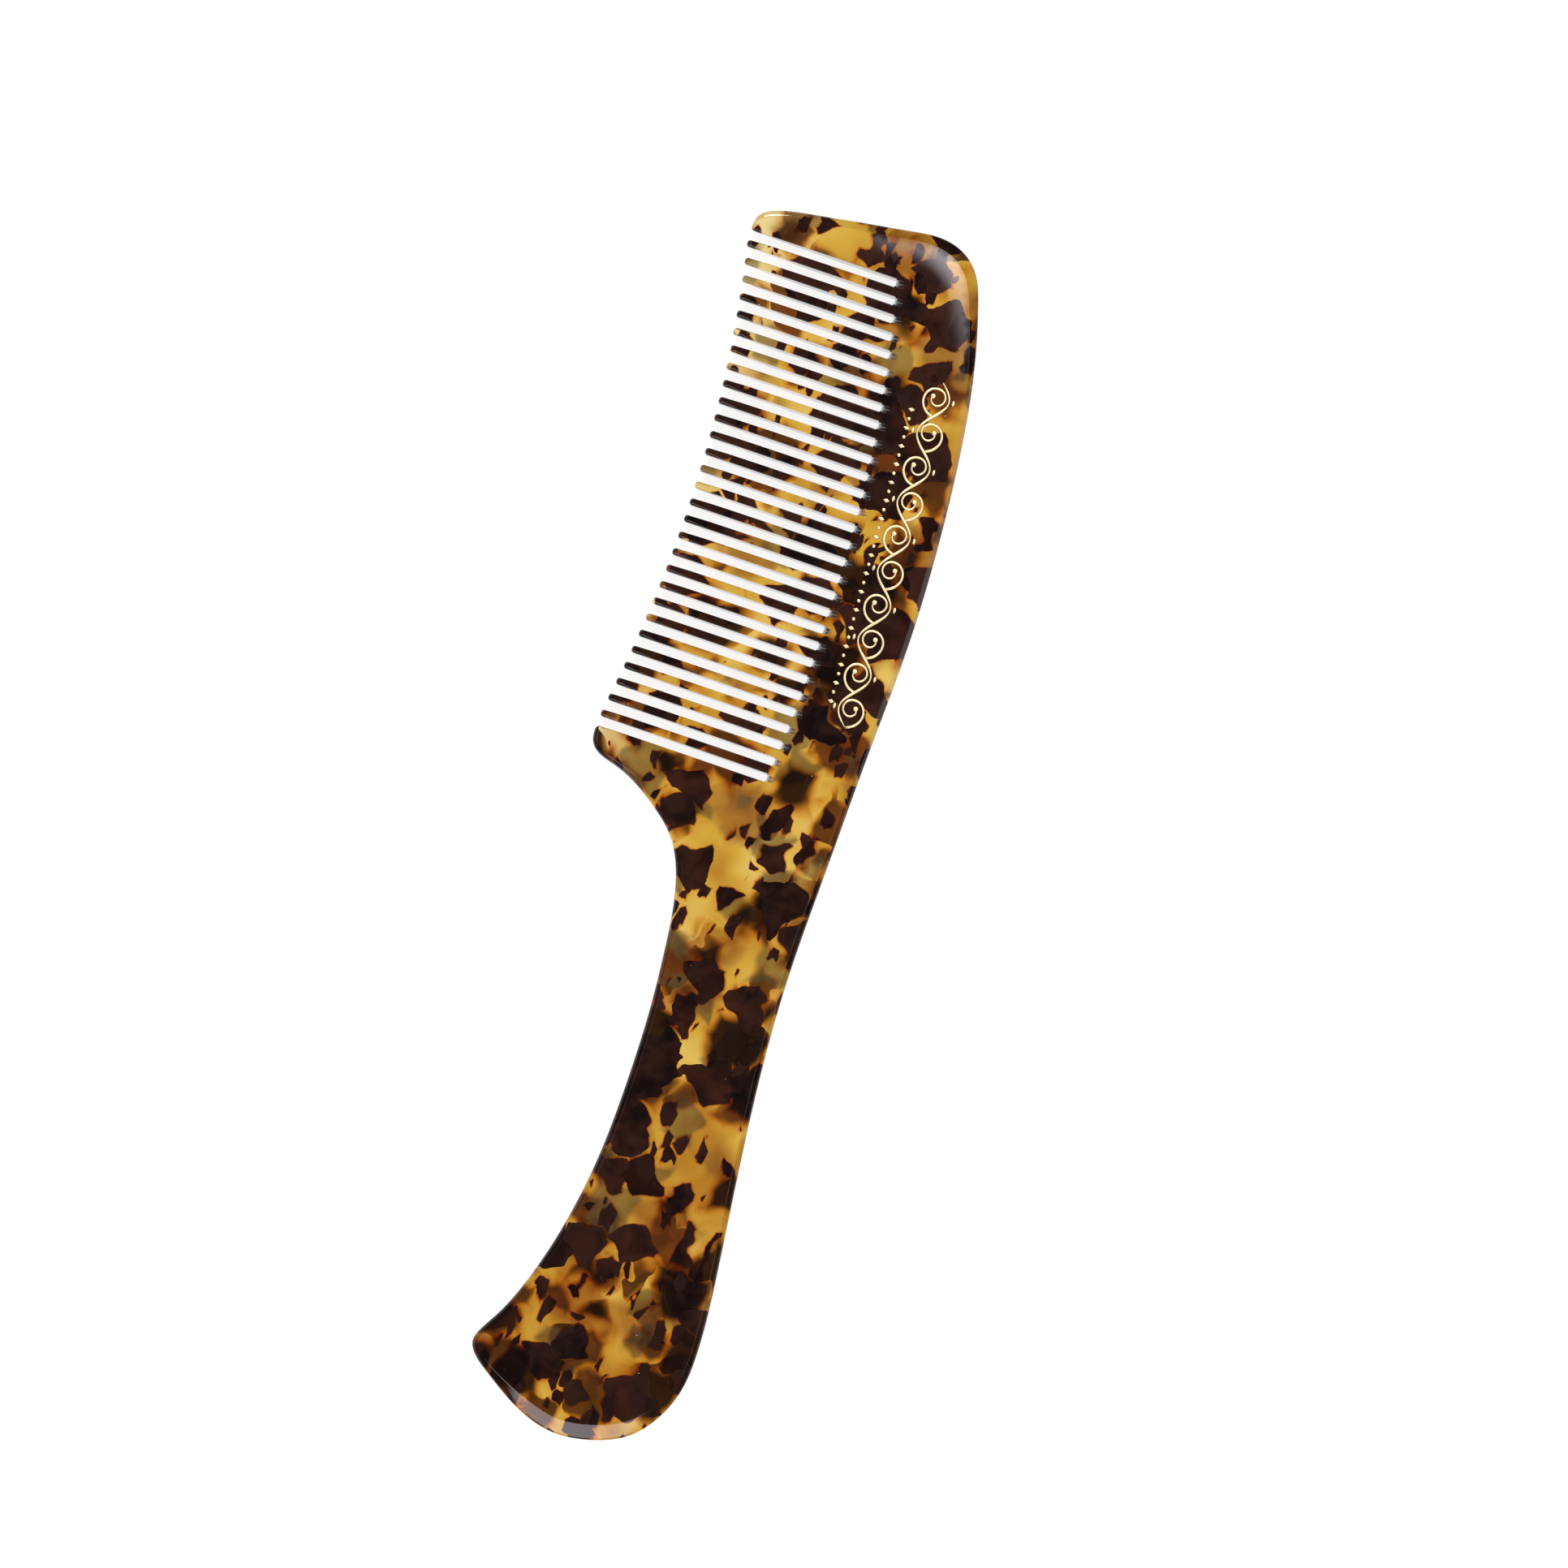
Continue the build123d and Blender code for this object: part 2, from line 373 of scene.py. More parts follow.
@dataclass
class Walk:
    """The comb's closed edge as a walk with the acetate on the left, one entry for each vertex."""

    back: list[Point] = field(default_factory=list)
    front: list[Point] = field(default_factory=list)
    width: list[float] = field(default_factory=list)
    depth: list[float] = field(default_factory=list)
    crisp: list[float] = field(default_factory=list)
    piece: list[str] = field(default_factory=list)
    sawn: list[bool] = field(default_factory=list)

    def add(self, back: Point, width: float, depth: float, piece: str, sawn: bool,
            front: Point | None = None, crisp: float = 0.0) -> int:
        """Adds a vertex.

        Args:
            back: where it is on the back face.
            width: how far the edge is eased there.
            depth: how deep the easing goes.
            piece: the piece that the wall from here to the next vertex belongs to.
            sawn: whether that wall is left from the saw.
            front: where it is on the front face, if not straight above.
            crisp: from 0, a soft round, to 1, a bevel with a crisp line.

        Returns:
            The vertex's number.
        """
        self.back.append(back)
        self.front.append(front or back)
        self.width.append(width)
        self.depth.append(depth)
        self.crisp.append(crisp)
        self.piece.append(piece)
        self.sawn.append(sawn)
        return len(self.back) - 1


@dataclass
class Parting:
    """A line across the faces where two pieces meet: walk vertices or free points, in order."""

    ends: list[int | Point]


@dataclass
class AcetateSlab:
    """The whole comb as one surface, ready to be parted into its pieces."""

    shape: CombShape
    outline_step: float = 0.4
    face_step: float = 1.1
    round_steps: int = 6
    wall_steps: int = 6
    wall_rows: int = 14
    near_tip: Sequence[float] = (0.25, 0.6, 1.1, 1.8, 2.7, 3.8, 5.2)
    root_clearance: float = 0.1     # a wall's last vertex lies this far under the slot's root
    longest_gap: float = 0.9        # a wall gets one more vertex over the parting line above this
    search_steps: int = 4000
    tip_search_steps: int = 6000
    teeth_clearance: Point = (1.0, 0.4)  # face points keep this far under the lowest and the local root
    closest: float = 0.45           # and this share of a step away from any edge
    row_share: float = 0.866        # the rows of face points make near enough equal-sided triangles
    crisp_from: float = 0.02        # the dome starts where a bevel is at least this crisp
    flat_end: Point = (0.18, 0.62)  # where a bevel's flat ends and rolls into the wall
    flat_stations: Sequence[float] = (0.0, 0.1, 0.55, 1.0)
    crest_rise: float = 0.02
    walk: Walk = field(default_factory=Walk)
    partings: list[Parting] = field(default_factory=list)
    tooth_tops: list[float] = field(default_factory=list)

    def __post_init__(self) -> None:
        """Reads the tooth row and the slab's thickness from the frame."""
        self.teeth = sorted(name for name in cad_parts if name.startswith("tooth_"))
        boxes = [box_mm(name) for name in self.teeth]
        self.middles = [float(low[0] + high[0]) / 2 for low, high in boxes]
        self.tips = [float(low[1]) for low, _ in boxes]
        self.half = float(boxes[0][1][0] - boxes[0][0][0]) / 2
        self.pitch = (self.middles[-1] - self.middles[0]) / (len(self.teeth) - 1)
        handle_low, handle_high = box_mm("handle")
        self.thickness = float(handle_high[2] - handle_low[2])
        self.slots = [self.middles[0] + (k - 0.5) * self.pitch for k in range(len(self.teeth) + 1)]
        self.slot_half = self.pitch / 2 - self.half
        tops = [float(high[1]) for _, high in boxes]
        toe_root = float(box_mm("toe_guard")[1][1])
        heel_root = float(box_mm("heel_guard")[1][1])
        crest = int(np.argmax(tops))
        # a tooth's top is the lower of its two roots, and the roots rise to the crest
        highest = max(tops) + self.crest_rise
        self.roots = [toe_root, *tops[1:crest + 1], highest, *tops[crest + 1:-1], heel_root]
        self.spline = ClosedSpline(self.shape.stations())

    def planed(self, y: Any) -> Any:
        """Measures how far each face is planed down, blended into the flat.

        Args:
            y: one y or an array of them.

        Returns:
            The fall at each y.
        """
        blend = self.shape.planed_blend
        below = (self.shape.planed_from_y - np.asarray(y, float)) / blend
        return math.tan(math.radians(self.shape.planed_degrees)) * blend * np.logaddexp(0.0, below)

    def easing(self, y: float, tip: float) -> tuple[float, float]:
        """The edge's easing on a slot wall.

        Args:
            y: where on the wall.
            tip: the y of the wall's own tip.

        Returns:
            Its width and depth.
        """
        shape = self.shape
        near = float(smoothstep(tip + shape.tip_round_length, tip, y))
        width = shape.edge_round + (shape.tip_round - shape.edge_round) * near
        depth = shape.edge_round_depth + (shape.tip_round_depth - shape.edge_round_depth) * near
        return width, depth

    def wall_stations(self, tip: float, parting: float, root: float) -> list[float]:
        """Spaces the vertices on a slot wall, closest together near the tip.

        Args:
            tip: the y of the wall's tip.
            parting: the y where the piece meets the spine.
            root: the y of the slot's root.

        Returns:
            The y of each vertex, upwards.
        """
        near = [tip + rise for rise in self.near_tip]
        far = np.linspace(near[-1], parting, self.wall_rows + 1)[1:]
        stations = near + [float(y) for y in far]
        if root - parting > self.longest_gap:
            stations.append((parting + root) / 2)
        return stations + [root - self.root_clearance]

    def add_wall(self, x_tip: float, x_root: float, tip: float, parting: float, root: float,
                 upwards: bool, pieces: tuple[str, str]) -> int:
        """Adds one side of a slot to the walk.

        Args:
            x_tip: the wall's x at its tip.
            x_root: its x at the root.
            tip: the y of the tip, where its rounding has ended.
            parting: the y where the piece meets the spine.
            root: the y of the slot's root.
            upwards: whether the walk climbs this wall.
            pieces: the piece below the parting line and the piece above it.

        Returns:
            The number of the vertex on the parting line.
        """
        stations = self.wall_stations(tip, parting, root)
        on_line = -1
        for y in (stations if upwards else reversed(stations)):
            share = (y - tip) / (parting - tip)
            x = x_tip + (x_root - x_tip) * min(share, 1.0)
            below = y < parting - SAME_MM or (abs(y - parting) < SAME_MM and not upwards)
            width, depth = self.easing(y, tip)
            vertex = self.walk.add((x, y), width, depth, pieces[0] if below else pieces[1], True)
            if abs(y - parting) < SAME_MM:
                on_line = vertex
        return on_line

    def add_root(self, middle: float, root: float) -> None:
        """Adds a slot's end: square shoulders, and the saw's narrower run-out that slopes up to the front.

        Args:
            middle: the x of the slot's middle.
            root: the y of its root.
        """
        shape = self.shape
        half = shape.runout_width / 2
        straight = shape.runout_length - half
        arch: list[Point] = [(half, 0.0), (half, straight / 2), (half, straight)]
        arch += [(half * math.cos(turn), straight + half * math.sin(turn))
                 for turn in np.radians(shape.runout_turns)]
        profile = [(-x, rise) for x, rise in arch] + [(x, rise) for x, rise in reversed(arch[:-1])]
        ease = (shape.edge_round, shape.edge_round_depth)
        self.walk.add((middle - self.slot_half, root), *ease, Region.SPINE.value, True)
        for index, (across, rise) in enumerate(profile):
            even = half * (2 * index / (len(profile) - 1) - 1)
            base = (middle + even, root)
            self.walk.add(base, *ease, Region.SPINE.value, True, front=(middle + across, root + rise))
        self.walk.add((middle + self.slot_half, root), *ease, Region.SPINE.value, True)

    def add_tooth(self, index: int) -> None:
        """Adds one tooth: down its toe side, round its tip and up its heel side.

        Args:
            index: which tooth, from 0 at the toe.
        """
        shape = self.shape
        name, middle, tip = self.teeth[index], self.middles[index], self.tips[index]
        radius, tip_half = shape.tooth_tip_radius, shape.tooth_tip_width / 2
        parting = min(self.roots[index], self.roots[index + 1]) - shape.parting_drop
        pieces = (name, Region.SPINE.value)
        bottom = tip + radius
        start = self.add_wall(middle - tip_half, middle - self.half, bottom, parting,
                              self.roots[index], False, pieces)
        for side, turns in zip((-1, 1), shape.tooth_tip_turns):
            for turn in np.radians(turns):
                centre = middle + side * (tip_half - radius)
                point = (centre + radius * math.cos(turn), bottom + radius * math.sin(turn))
                self.walk.add(point, shape.tip_round, shape.tip_round_depth, name, False)
        end = self.add_wall(middle + tip_half, middle + self.half, bottom, parting,
                            self.roots[index + 1], True, pieces)
        self.partings.append(Parting([start, end]))
        self.tooth_tops.append(parting)

    def find_place(self, low: float, high: float, axis: int, target: float) -> float:
        """Finds where the bevel's inner line crosses a coordinate.

        Args:
            low: a place along the outline before the crossing.
            high: a place after it.
            axis: 0 for x, 1 for y.
            target: the coordinate to cross.

        Returns:
            The place along the outline.
        """
        places = np.linspace(low, high, self.search_steps + 1)
        points, rates = self.spline.sample(places)
        inward = unit(np.stack([-rates[:, 1], rates[:, 0]], axis=1))
        inner = points[:, :2] + inward * points[:, 2:3]
        return float(places[np.argmin(np.abs(inner[:, axis] - target))])

    def knot_of(self, station: Station) -> float:
        """The place along the outline of one of its stations."""
        return float(self.spline.knots[self.shape.stations().index(station)])

    def height_at(self, place: float) -> float:
        """The y of the outline at a place along it."""
        return float(self.spline.sample(np.array([place]))[0][0, 1])

    def add_outline(self) -> None:
        """Adds the free outline, from the heel guard's slot round the handle to the toe guard's slot."""
        shape = self.shape
        heel_line = self.roots[-1] - shape.parting_drop
        toe_line = self.roots[0] - shape.parting_drop
        radius = shape.guard_tip_radius
        heel_wall = self.slots[-1] + self.slot_half
        toe_wall = self.slots[0] - self.slot_half
        places = np.linspace(0.0, self.knot_of(shape.heel[0]), self.tip_search_steps + 1)
        row = self.spline.sample(places)[0]
        first = float(places[np.argmin(np.abs(row[:, 0] - (heel_wall + radius)))])
        last = float(places[np.argmin(np.abs(row[:, 0] - (toe_wall - radius)))])
        searches = (
            (shape.heel[3], shape.handle_underside[0], 0, shape.heel_end_x),
            (shape.handle_top[-1], shape.spine_top[1], 0, shape.heel_end_x),
            (shape.toe[2], shape.toe[6], 1, toe_line),
        )
        marks = [self.find_place(self.knot_of(low), self.knot_of(high), axis, target)
                 for low, high, axis, target in searches]
        stops = [first, *marks, float(self.spline.knots[-1]) + last]
        names = [Region.HEEL_GUARD, Region.HANDLE, Region.SPINE, Region.TOE_GUARD]
        heel_turns, toe_turns = shape.guard_tip_turns

        heel_parting = self.add_wall(heel_wall, heel_wall, self.height_at(first) + radius, heel_line,
                                     self.roots[-1], False, (Region.HEEL_GUARD.value, Region.SPINE.value))
        self.add_guard_corner(heel_wall + radius, first, heel_turns, Region.HEEL_GUARD)
        on_line: list[int] = []
        for region, low, high in zip(names, stops[:-1], stops[1:]):
            count = max(2, int((high - low) / self.outline_step))
            places = np.linspace(low, high, count + 1)[:-1]
            points, _ = self.spline.sample(places)
            for order, (x, y, bevel) in enumerate(points):
                crisp = float(smoothstep(shape.soft_below_y, shape.crisp_above_y, y))
                room = shape.bevel_room * (self.thickness / 2 - float(self.planed(y)))
                share = shape.soft_depth_share + (1 - shape.soft_depth_share) * crisp
                depth = min(shape.bevel_depth * share, room)
                vertex = self.walk.add((x, y), bevel, depth, region.value, False, crisp=crisp)
                if order == 0:
                    on_line.append(vertex)
        self.add_guard_corner(toe_wall - radius, last, toe_turns, Region.TOE_GUARD)
        toe_parting = self.add_wall(toe_wall, toe_wall, self.height_at(last) + radius, toe_line,
                                    self.roots[0], True, (Region.TOE_GUARD.value, Region.SPINE.value))
        corner = (shape.heel_end_x, heel_line)
        self.partings += [
            Parting([heel_parting, corner]),
            Parting([corner, on_line[1]]),
            Parting([corner, on_line[2]]),
            Parting([on_line[3], toe_parting]),
        ]

    def add_guard_corner(self, centre_x: float, place: float, turns: Sequence[float],
                         region: Region) -> None:
        """Rounds a guard's tip where it turns up into its slot.

        Args:
            centre_x: the x of the rounding's centre.
            place: where along the outline the rounding meets it.
            turns: the directions of its vertices from the centre, in degrees.
            region: the guard.
        """
        shape = self.shape
        radius = shape.guard_tip_radius
        centre_y = self.height_at(place) + radius
        for turn in turns:
            angle = math.radians(turn)
            point = (centre_x + radius * math.cos(angle), centre_y + radius * math.sin(angle))
            widening = (shape.guard_edge_width - shape.tip_round) * (1 - abs(turn - 270) / 90)
            width = min(shape.tip_round + widening, shape.guard_tip_width)
            self.walk.add(point, width, shape.tip_round_depth, region.value, False)

    def trace_edge(self) -> None:
        """Walks the whole edge once: slots and teeth from the toe, then the free outline."""
        for index in range(len(self.slots)):
            self.add_root(self.slots[index], self.roots[index])
            if index < len(self.teeth):
                self.add_tooth(index)
        self.add_outline()

    @staticmethod
    def inward(points: np.ndarray) -> np.ndarray:
        """Finds the normals of a closed walk that point into the acetate on its left.

        Args:
            points: x and y along the walk.

        Returns:
            The unit normal at each point.
        """
        ahead = unit(np.roll(points, -1, axis=0) - points)
        behind = unit(points - np.roll(points, 1, axis=0))
        along = unit(ahead + behind)
        return np.stack([-along[:, 1], along[:, 0]], axis=1)

    def fall(self, points: np.ndarray) -> np.ndarray:
        """How far below the flat each face lies at some points: the planing and the buffed dome.

        Args:
            points: x and y of each point.

        Returns:
            The fall at each point.
        """
        crisp = np.array(self.walk.crisp)
        chosen = np.nonzero(crisp > self.crisp_from)[0]
        width = np.array(self.walk.width)[chosen] * crisp[chosen]
        nearest, gap = nearest_on(self.inner_front[chosen], points)
        rise = np.clip(1 - gap / self.shape.dome_reach, 0, 1)
        return self.planed(points[:, 1]) + self.shape.dome_share * width[nearest] * rise**2

    def rings(self) -> np.ndarray:
        """The rings of vertices from the rim of the back face, round the walls, to the rim of the front.

        Returns:
            An array of ring, vertex and coordinate.
        """
        walk = self.walk
        back, front = np.array(walk.back), np.array(walk.front)
        width, depth, crisp = np.array(walk.width), np.array(walk.depth), np.array(walk.crisp)
        normals = self.inward(back), self.inward(front)
        reach = width + self.shape.crease_round * (0.5 + 0.5 * crisp)
        self.inner_back = back + normals[0] * reach[:, None]
        self.inner_front = front + normals[1] * reach[:, None]
        low = self.fall(self.inner_back)
        high = self.thickness - self.fall(self.inner_front)
        profile = [(reach, 0.0 * depth)]
        for soft, bevel in zip(self.soft_profile(), self.bevel_profile()):
            inset, drop = ((1 - crisp) * a + crisp * b for a, b in zip(soft, bevel))
            profile.append((inset * width, drop * depth))
        made = [self.level(back, front, normals, inset, low + drop) for inset, drop in profile]
        for share in np.linspace(0, 1, self.wall_steps + 1)[1:-1]:
            z = (low + depth) * (1 - share) + (high - depth) * share
            made.append(self.level(back, front, normals, 0 * width, z))
        made += [self.level(back, front, normals, inset, high - drop) for inset, drop in profile[::-1]]
        return np.array(made)

    def soft_profile(self) -> list[Point]:
        """A quarter round from the face to the wall, as shares of its width and depth."""
        turns = np.radians(np.linspace(90, 0, self.round_steps + 1))
        return [(1 - math.cos(turn), 1 - math.sin(turn)) for turn in turns]

    def bevel_profile(self) -> list[Point]:
        """Draws a flat bevel from the face that rolls into the wall.

        Returns:
            Its points as shares of its width and depth.
        """
        across, down = self.flat_end
        corner = down + across * down / (1 - across)
        flat = [(1 - (1 - across) * share, down * share) for share in self.flat_stations]
        roll = [((1 - t) ** 2 * across, (1 - t) ** 2 * down + 2 * t * (1 - t) * corner + t * t)
                for t in np.linspace(0, 1, self.round_steps - 2)[1:]]
        return flat + roll

    def level(self, back: np.ndarray, front: np.ndarray, normals: tuple[np.ndarray, np.ndarray],
              inset: np.ndarray, z: np.ndarray) -> np.ndarray:
        """Places one ring of vertices.

        Args:
            back: the walk on the back face.
            front: the walk on the front face.
            normals: the inward normals of both.
            inset: how far in each vertex moves.
            z: the height of each vertex.

        Returns:
            The vertices.
        """
        share = np.clip(z / self.thickness, 0, 1)[:, None] ** self.shape.runout_sweep
        point = back * (1 - share) + front * share
        point = point + (normals[0] * (1 - share) + normals[1] * share) * inset[:, None]
        return np.column_stack([point, z])

    def face_points(self, rim: np.ndarray) -> np.ndarray:
        """Points spread over a face, clear of its rim.

        Args:
            rim: the closed rim of the face.

        Returns:
            x and y of each point.
        """
        step = self.face_step
        low, high = rim.min(axis=0), rim.max(axis=0)
        rows = []
        for number, y in enumerate(np.arange(low[1], high[1], step * self.row_share)):
            xs = np.arange(low[0] + (number % 2) * step / 2, high[0], step)
            rows.append(np.column_stack([xs, np.full(len(xs), y)]))
        points = np.vstack(rows)
        under_lowest, under_local = self.teeth_clearance
        teeth_low = min(self.roots) - under_lowest
        in_row = (points[:, 0] > self.slots[0]) & (points[:, 0] < self.slots[-1])
        tooth_top = np.interp(points[:, 0], self.slots, self.roots) - under_local
        points = points[~(in_row & ((points[:, 1] < tooth_top) | (points[:, 1] < teeth_low)))]
        _, gaps = nearest_on(rim, points)
        return points[self.inside(points, rim) & (gaps > self.closest * step)]

    @staticmethod
    def inside(points: np.ndarray, rim: np.ndarray) -> np.ndarray:
        """Tells which points lie inside a closed rim.

        Args:
            points: x and y of each point.
            rim: x and y round the rim.

        Returns:
            True or False for each point.
        """
        ahead = np.roll(rim, -1, axis=0)
        rise = ahead[:, 1] - rim[:, 1]
        slope = (ahead[:, 0] - rim[:, 0]) / np.where(rise == 0, 1.0, rise)
        found = []
        for start in range(0, len(points), BLOCK):
            x, y = points[start:start + BLOCK, :1], points[start:start + BLOCK, 1:]
            spans = (rim[None, :, 1] > y) != (ahead[None, :, 1] > y)
            found.append((spans & (x < rim[:, 0] + (y - rim[:, 1]) * slope)).sum(axis=1) % 2 == 1)
        return np.concatenate(found)

    def face(self, rim: np.ndarray) -> tuple[np.ndarray, list[tuple[int, int, int]]]:
        """Fills one face with triangles that keep to the parting lines.

        Args:
            rim: the closed rim of the face.

        Returns:
            The added points inside the rim, and triangles that number the rim's points first.
        """
        count = len(rim)
        free = [tuple(end) for parting in self.partings for end in parting.ends if not isinstance(end, int)]
        free = list(dict.fromkeys(free))
        inner = self.face_points(rim)
        edges = [(k, (k + 1) % count) for k in range(count)]
        line_points: list[Point] = []
        for parting in self.partings:
            start, end = (rim[e] if isinstance(e, int) else np.array(e) for e in parting.ends)
            numbers = [e if isinstance(e, int) else count + free.index(tuple(e)) for e in parting.ends]
            pieces = max(1, int(np.linalg.norm(end - start) / self.face_step))
            between = [tuple(start + (end - start) * k / pieces) for k in range(1, pieces)]
            first = count + len(free) + len(line_points)
            chain = [numbers[0], *range(first, first + len(between)), numbers[1]]
            edges += list(zip(chain[:-1], chain[1:]))
            line_points += between
        fixed = np.array(free + line_points, float).reshape(-1, 2)
        if len(fixed):
            _, gaps = nearest_on(fixed, inner)
            inner = inner[gaps > self.closest * self.face_step]
        points = np.vstack([rim, fixed, inner])
        found = delaunay_2d_cdt([Vector(p) for p in points.tolist()], edges, [], 1, SAME_MM, True)
        origins = [group[0] if group else -1 for group in found[3]]
        if min(origins) < 0:
            raise ValueError("the face's lines cross each other")
        triangles = np.array([[origins[v] for v in face] for face in found[2]])
        keep = self.inside(points[triangles].mean(axis=1), rim)
        return points[count:], [tuple(t) for t in triangles[keep].tolist()]

    def piece_at(self, x: float, y: float) -> str:
        """Finds the piece that owns a point of the faces.

        Args:
            x: along the comb.
            y: across it.

        Returns:
            The piece's name.
        """
        shape = self.shape
        if x > shape.heel_end_x:
            return Region.HANDLE.value
        for beyond, root, guard in ((x < self.slots[0], self.roots[0], Region.TOE_GUARD),
                                    (x > self.slots[-1], self.roots[-1], Region.HEEL_GUARD)):
            if beyond:
                return (guard if y < root - shape.parting_drop else Region.SPINE).value
        index = min(max(int((x - self.slots[0]) / self.pitch), 0), len(self.teeth) - 1)
        return self.teeth[index] if y < self.tooth_tops[index] else Region.SPINE.value


@dataclass
class WholeMesh:
    """The unparted surface: vertices, faces, and each face's piece and finish."""

    vertices: np.ndarray
    faces: list[tuple[int, ...]]
    pieces: list[str]
    finishes: list[Surface]

    @classmethod
    def from_slab(cls, slab: AcetateSlab) -> "WholeMesh":
        """Builds the surface of the slab.

        Args:
            slab: the slab, before its edge is traced.

        Returns:
            The surface.
        """
        slab.trace_edge()
        rings = slab.rings()
        levels, count, _ = rings.shape
        vertices = [rings.reshape(-1, 3)]
        faces: list[tuple[int, ...]] = []
        pieces: list[str] = []
        finishes: list[Surface] = []
        walls = range(slab.round_steps + 1, slab.round_steps + 1 + slab.wall_steps)
        for level in range(levels - 1):
            for here in range(count):
                after = (here + 1) % count
                low, high = level * count, (level + 1) * count
                faces.append((low + here, low + after, high + after, high + here))
                pieces.append(slab.walk.piece[here])
                sawn = slab.walk.sawn[here] and slab.walk.sawn[after] and level in walls
                finishes.append(Surface.SAWN if sawn else Surface.POLISHED)
        total = levels * count
        for top in (False, True):
            first = (levels - 1) * count if top else 0
            rim = rings[levels - 1 if top else 0][:, :2]
            added, triangles = slab.face(rim)
            fall = slab.fall(added)
            z = slab.thickness - fall if top else fall
            vertices.append(np.column_stack([added, z]))
            place = np.vstack([rim, added])
            for triangle in triangles:
                a, b, c = (place[v] for v in triangle)
                turn = (b[0] - a[0]) * (c[1] - a[1]) - (b[1] - a[1]) * (c[0] - a[0])
                numbers = [v + first if v < count else v - count + total for v in triangle]
                faces.append(tuple(numbers if (turn > 0) == top else numbers[::-1]))
                pieces.append(slab.piece_at(*((a + b + c) / 3)))
                finishes.append(Surface.POLISHED)
            total += len(added)
        return cls(np.vstack(vertices), faces, pieces, finishes)

    def corner_normals(self) -> list[np.ndarray]:
        """Reads the shading normals before the surface is parted.

        Returns:
            The normals at each face's corners.
        """
        mesh = bpy.data.meshes.new("whole")
        mesh.from_pydata((self.vertices * MM).tolist(), [], self.faces, shade_flat=False)
        flat = np.empty(len(mesh.loops) * 3)
        mesh.corner_normals.foreach_get("vector", flat)
        normals = flat.reshape(-1, 3)
        starts = np.cumsum([0] + [len(face) for face in self.faces])
        bpy.data.meshes.remove(mesh)
        return [normals[a:b] for a, b in zip(starts[:-1], starts[1:])]

    def seams(self) -> dict[tuple[str, str], list[tuple[int, int]]]:
        """Finds the edges that two pieces share.

        Returns:
            The edges by the pair of pieces, directed as the first piece has them.
        """
        owner: dict[tuple[int, int], str] = {}
        for face, piece in zip(self.faces, self.pieces):
            for a, b in zip(face, face[1:] + face[:1]):
                owner[(a, b)] = piece
        found: dict[tuple[str, str], list[tuple[int, int]]] = {}
        for (a, b), piece in owner.items():
            other = owner.get((b, a), piece)
            if other != piece:
                found.setdefault((piece, other), []).append((a, b))
        return found

    @staticmethod
    def loop_of(edges: Sequence[tuple[int, int]]) -> list[int]:
        """Puts directed edges in order.

        Args:
            edges: the edges of one loop, which may have an open end.

        Returns:
            The vertices in order.
        """
        after = dict(edges)
        starts = set(after) - set(after.values())
        here = min(starts) if starts else min(after)
        loop = [here]
        while here in after and after[here] != loop[0] and len(loop) <= len(edges):
            here = after[here]
            loop.append(here)
        return loop


@dataclass
class AcetateComb:
    """The acetate: one slab, parted into a piece for each region and each tooth."""

    shape: CombShape
    materials: Sequence[bpy.types.Material]

    def build(self) -> list[bpy.types.Object]:
        """Makes every acetate piece in place of its frame node's part and hangs it on the body.

        Returns:
            The pieces.
        """
        slab = AcetateSlab(self.shape)
        whole = WholeMesh.from_slab(slab)
        log.info("slab: %d vertices, %d faces", len(whole.vertices), len(whole.faces))
        normals = whole.corner_normals()
        seams = whole.seams()
        made = []
        for name in [region.value for region in Region] + slab.teeth:
            made.append(self.part_off(name, whole, normals, seams))
        return made

    def part_off(self, name: str, whole: WholeMesh, normals: Sequence[np.ndarray],
                 seams: dict[tuple[str, str], list[tuple[int, int]]]) -> bpy.types.Object:
        """Makes one piece, closed where it meets its neighbours.

        Args:
            name: the piece's frame node.
            whole: the unparted surface.
            normals: the shading normals of each of its faces' corners.
            seams: the shared edges of every pair of pieces.

        Returns:
            The piece's object.
        """
        chosen = [k for k, piece in enumerate(whole.pieces) if piece == name]
        faces = [whole.faces[k] for k in chosen]
        slots = [whole.finishes[k].value for k in chosen]
        corner = [normals[k] for k in chosen]
        for (piece, _), edges in sorted(seams.items()):
            if piece == name:
                loop = WholeMesh.loop_of(edges)[::-1]
                faces.append(tuple(loop))
                slots.append(Surface.SAWN.value)
                corner.append(np.tile(self.loop_normal(whole.vertices[loop]), (len(loop), 1)))
        used = sorted({v for face in faces for v in face})
        number = {v: k for k, v in enumerate(used)}
        mesh = bpy.data.meshes.new(f"acetate_{name}")
        mesh.from_pydata((whole.vertices[used] * MM).tolist(), [],
                         [[number[v] for v in face] for face in faces], shade_flat=False)
        for material in self.materials:
            mesh.materials.append(material)
        mesh.polygons.foreach_set("material_index", slots)
        mesh.normals_split_custom_set(np.vstack(corner).tolist())
        piece = add_object(f"acetate_{name}", mesh)
        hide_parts(name)
        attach(piece, BODY)
        return piece

    @staticmethod
    def loop_normal(points: np.ndarray) -> np.ndarray:
        """The unit normal of a nearly flat loop of points."""
        total = np.cross(points, np.roll(points, -1, axis=0)).sum(axis=0)
        return total / max(float(np.linalg.norm(total)), NO_LENGTH)


# ---------------------------------------------------------------------------- finishes


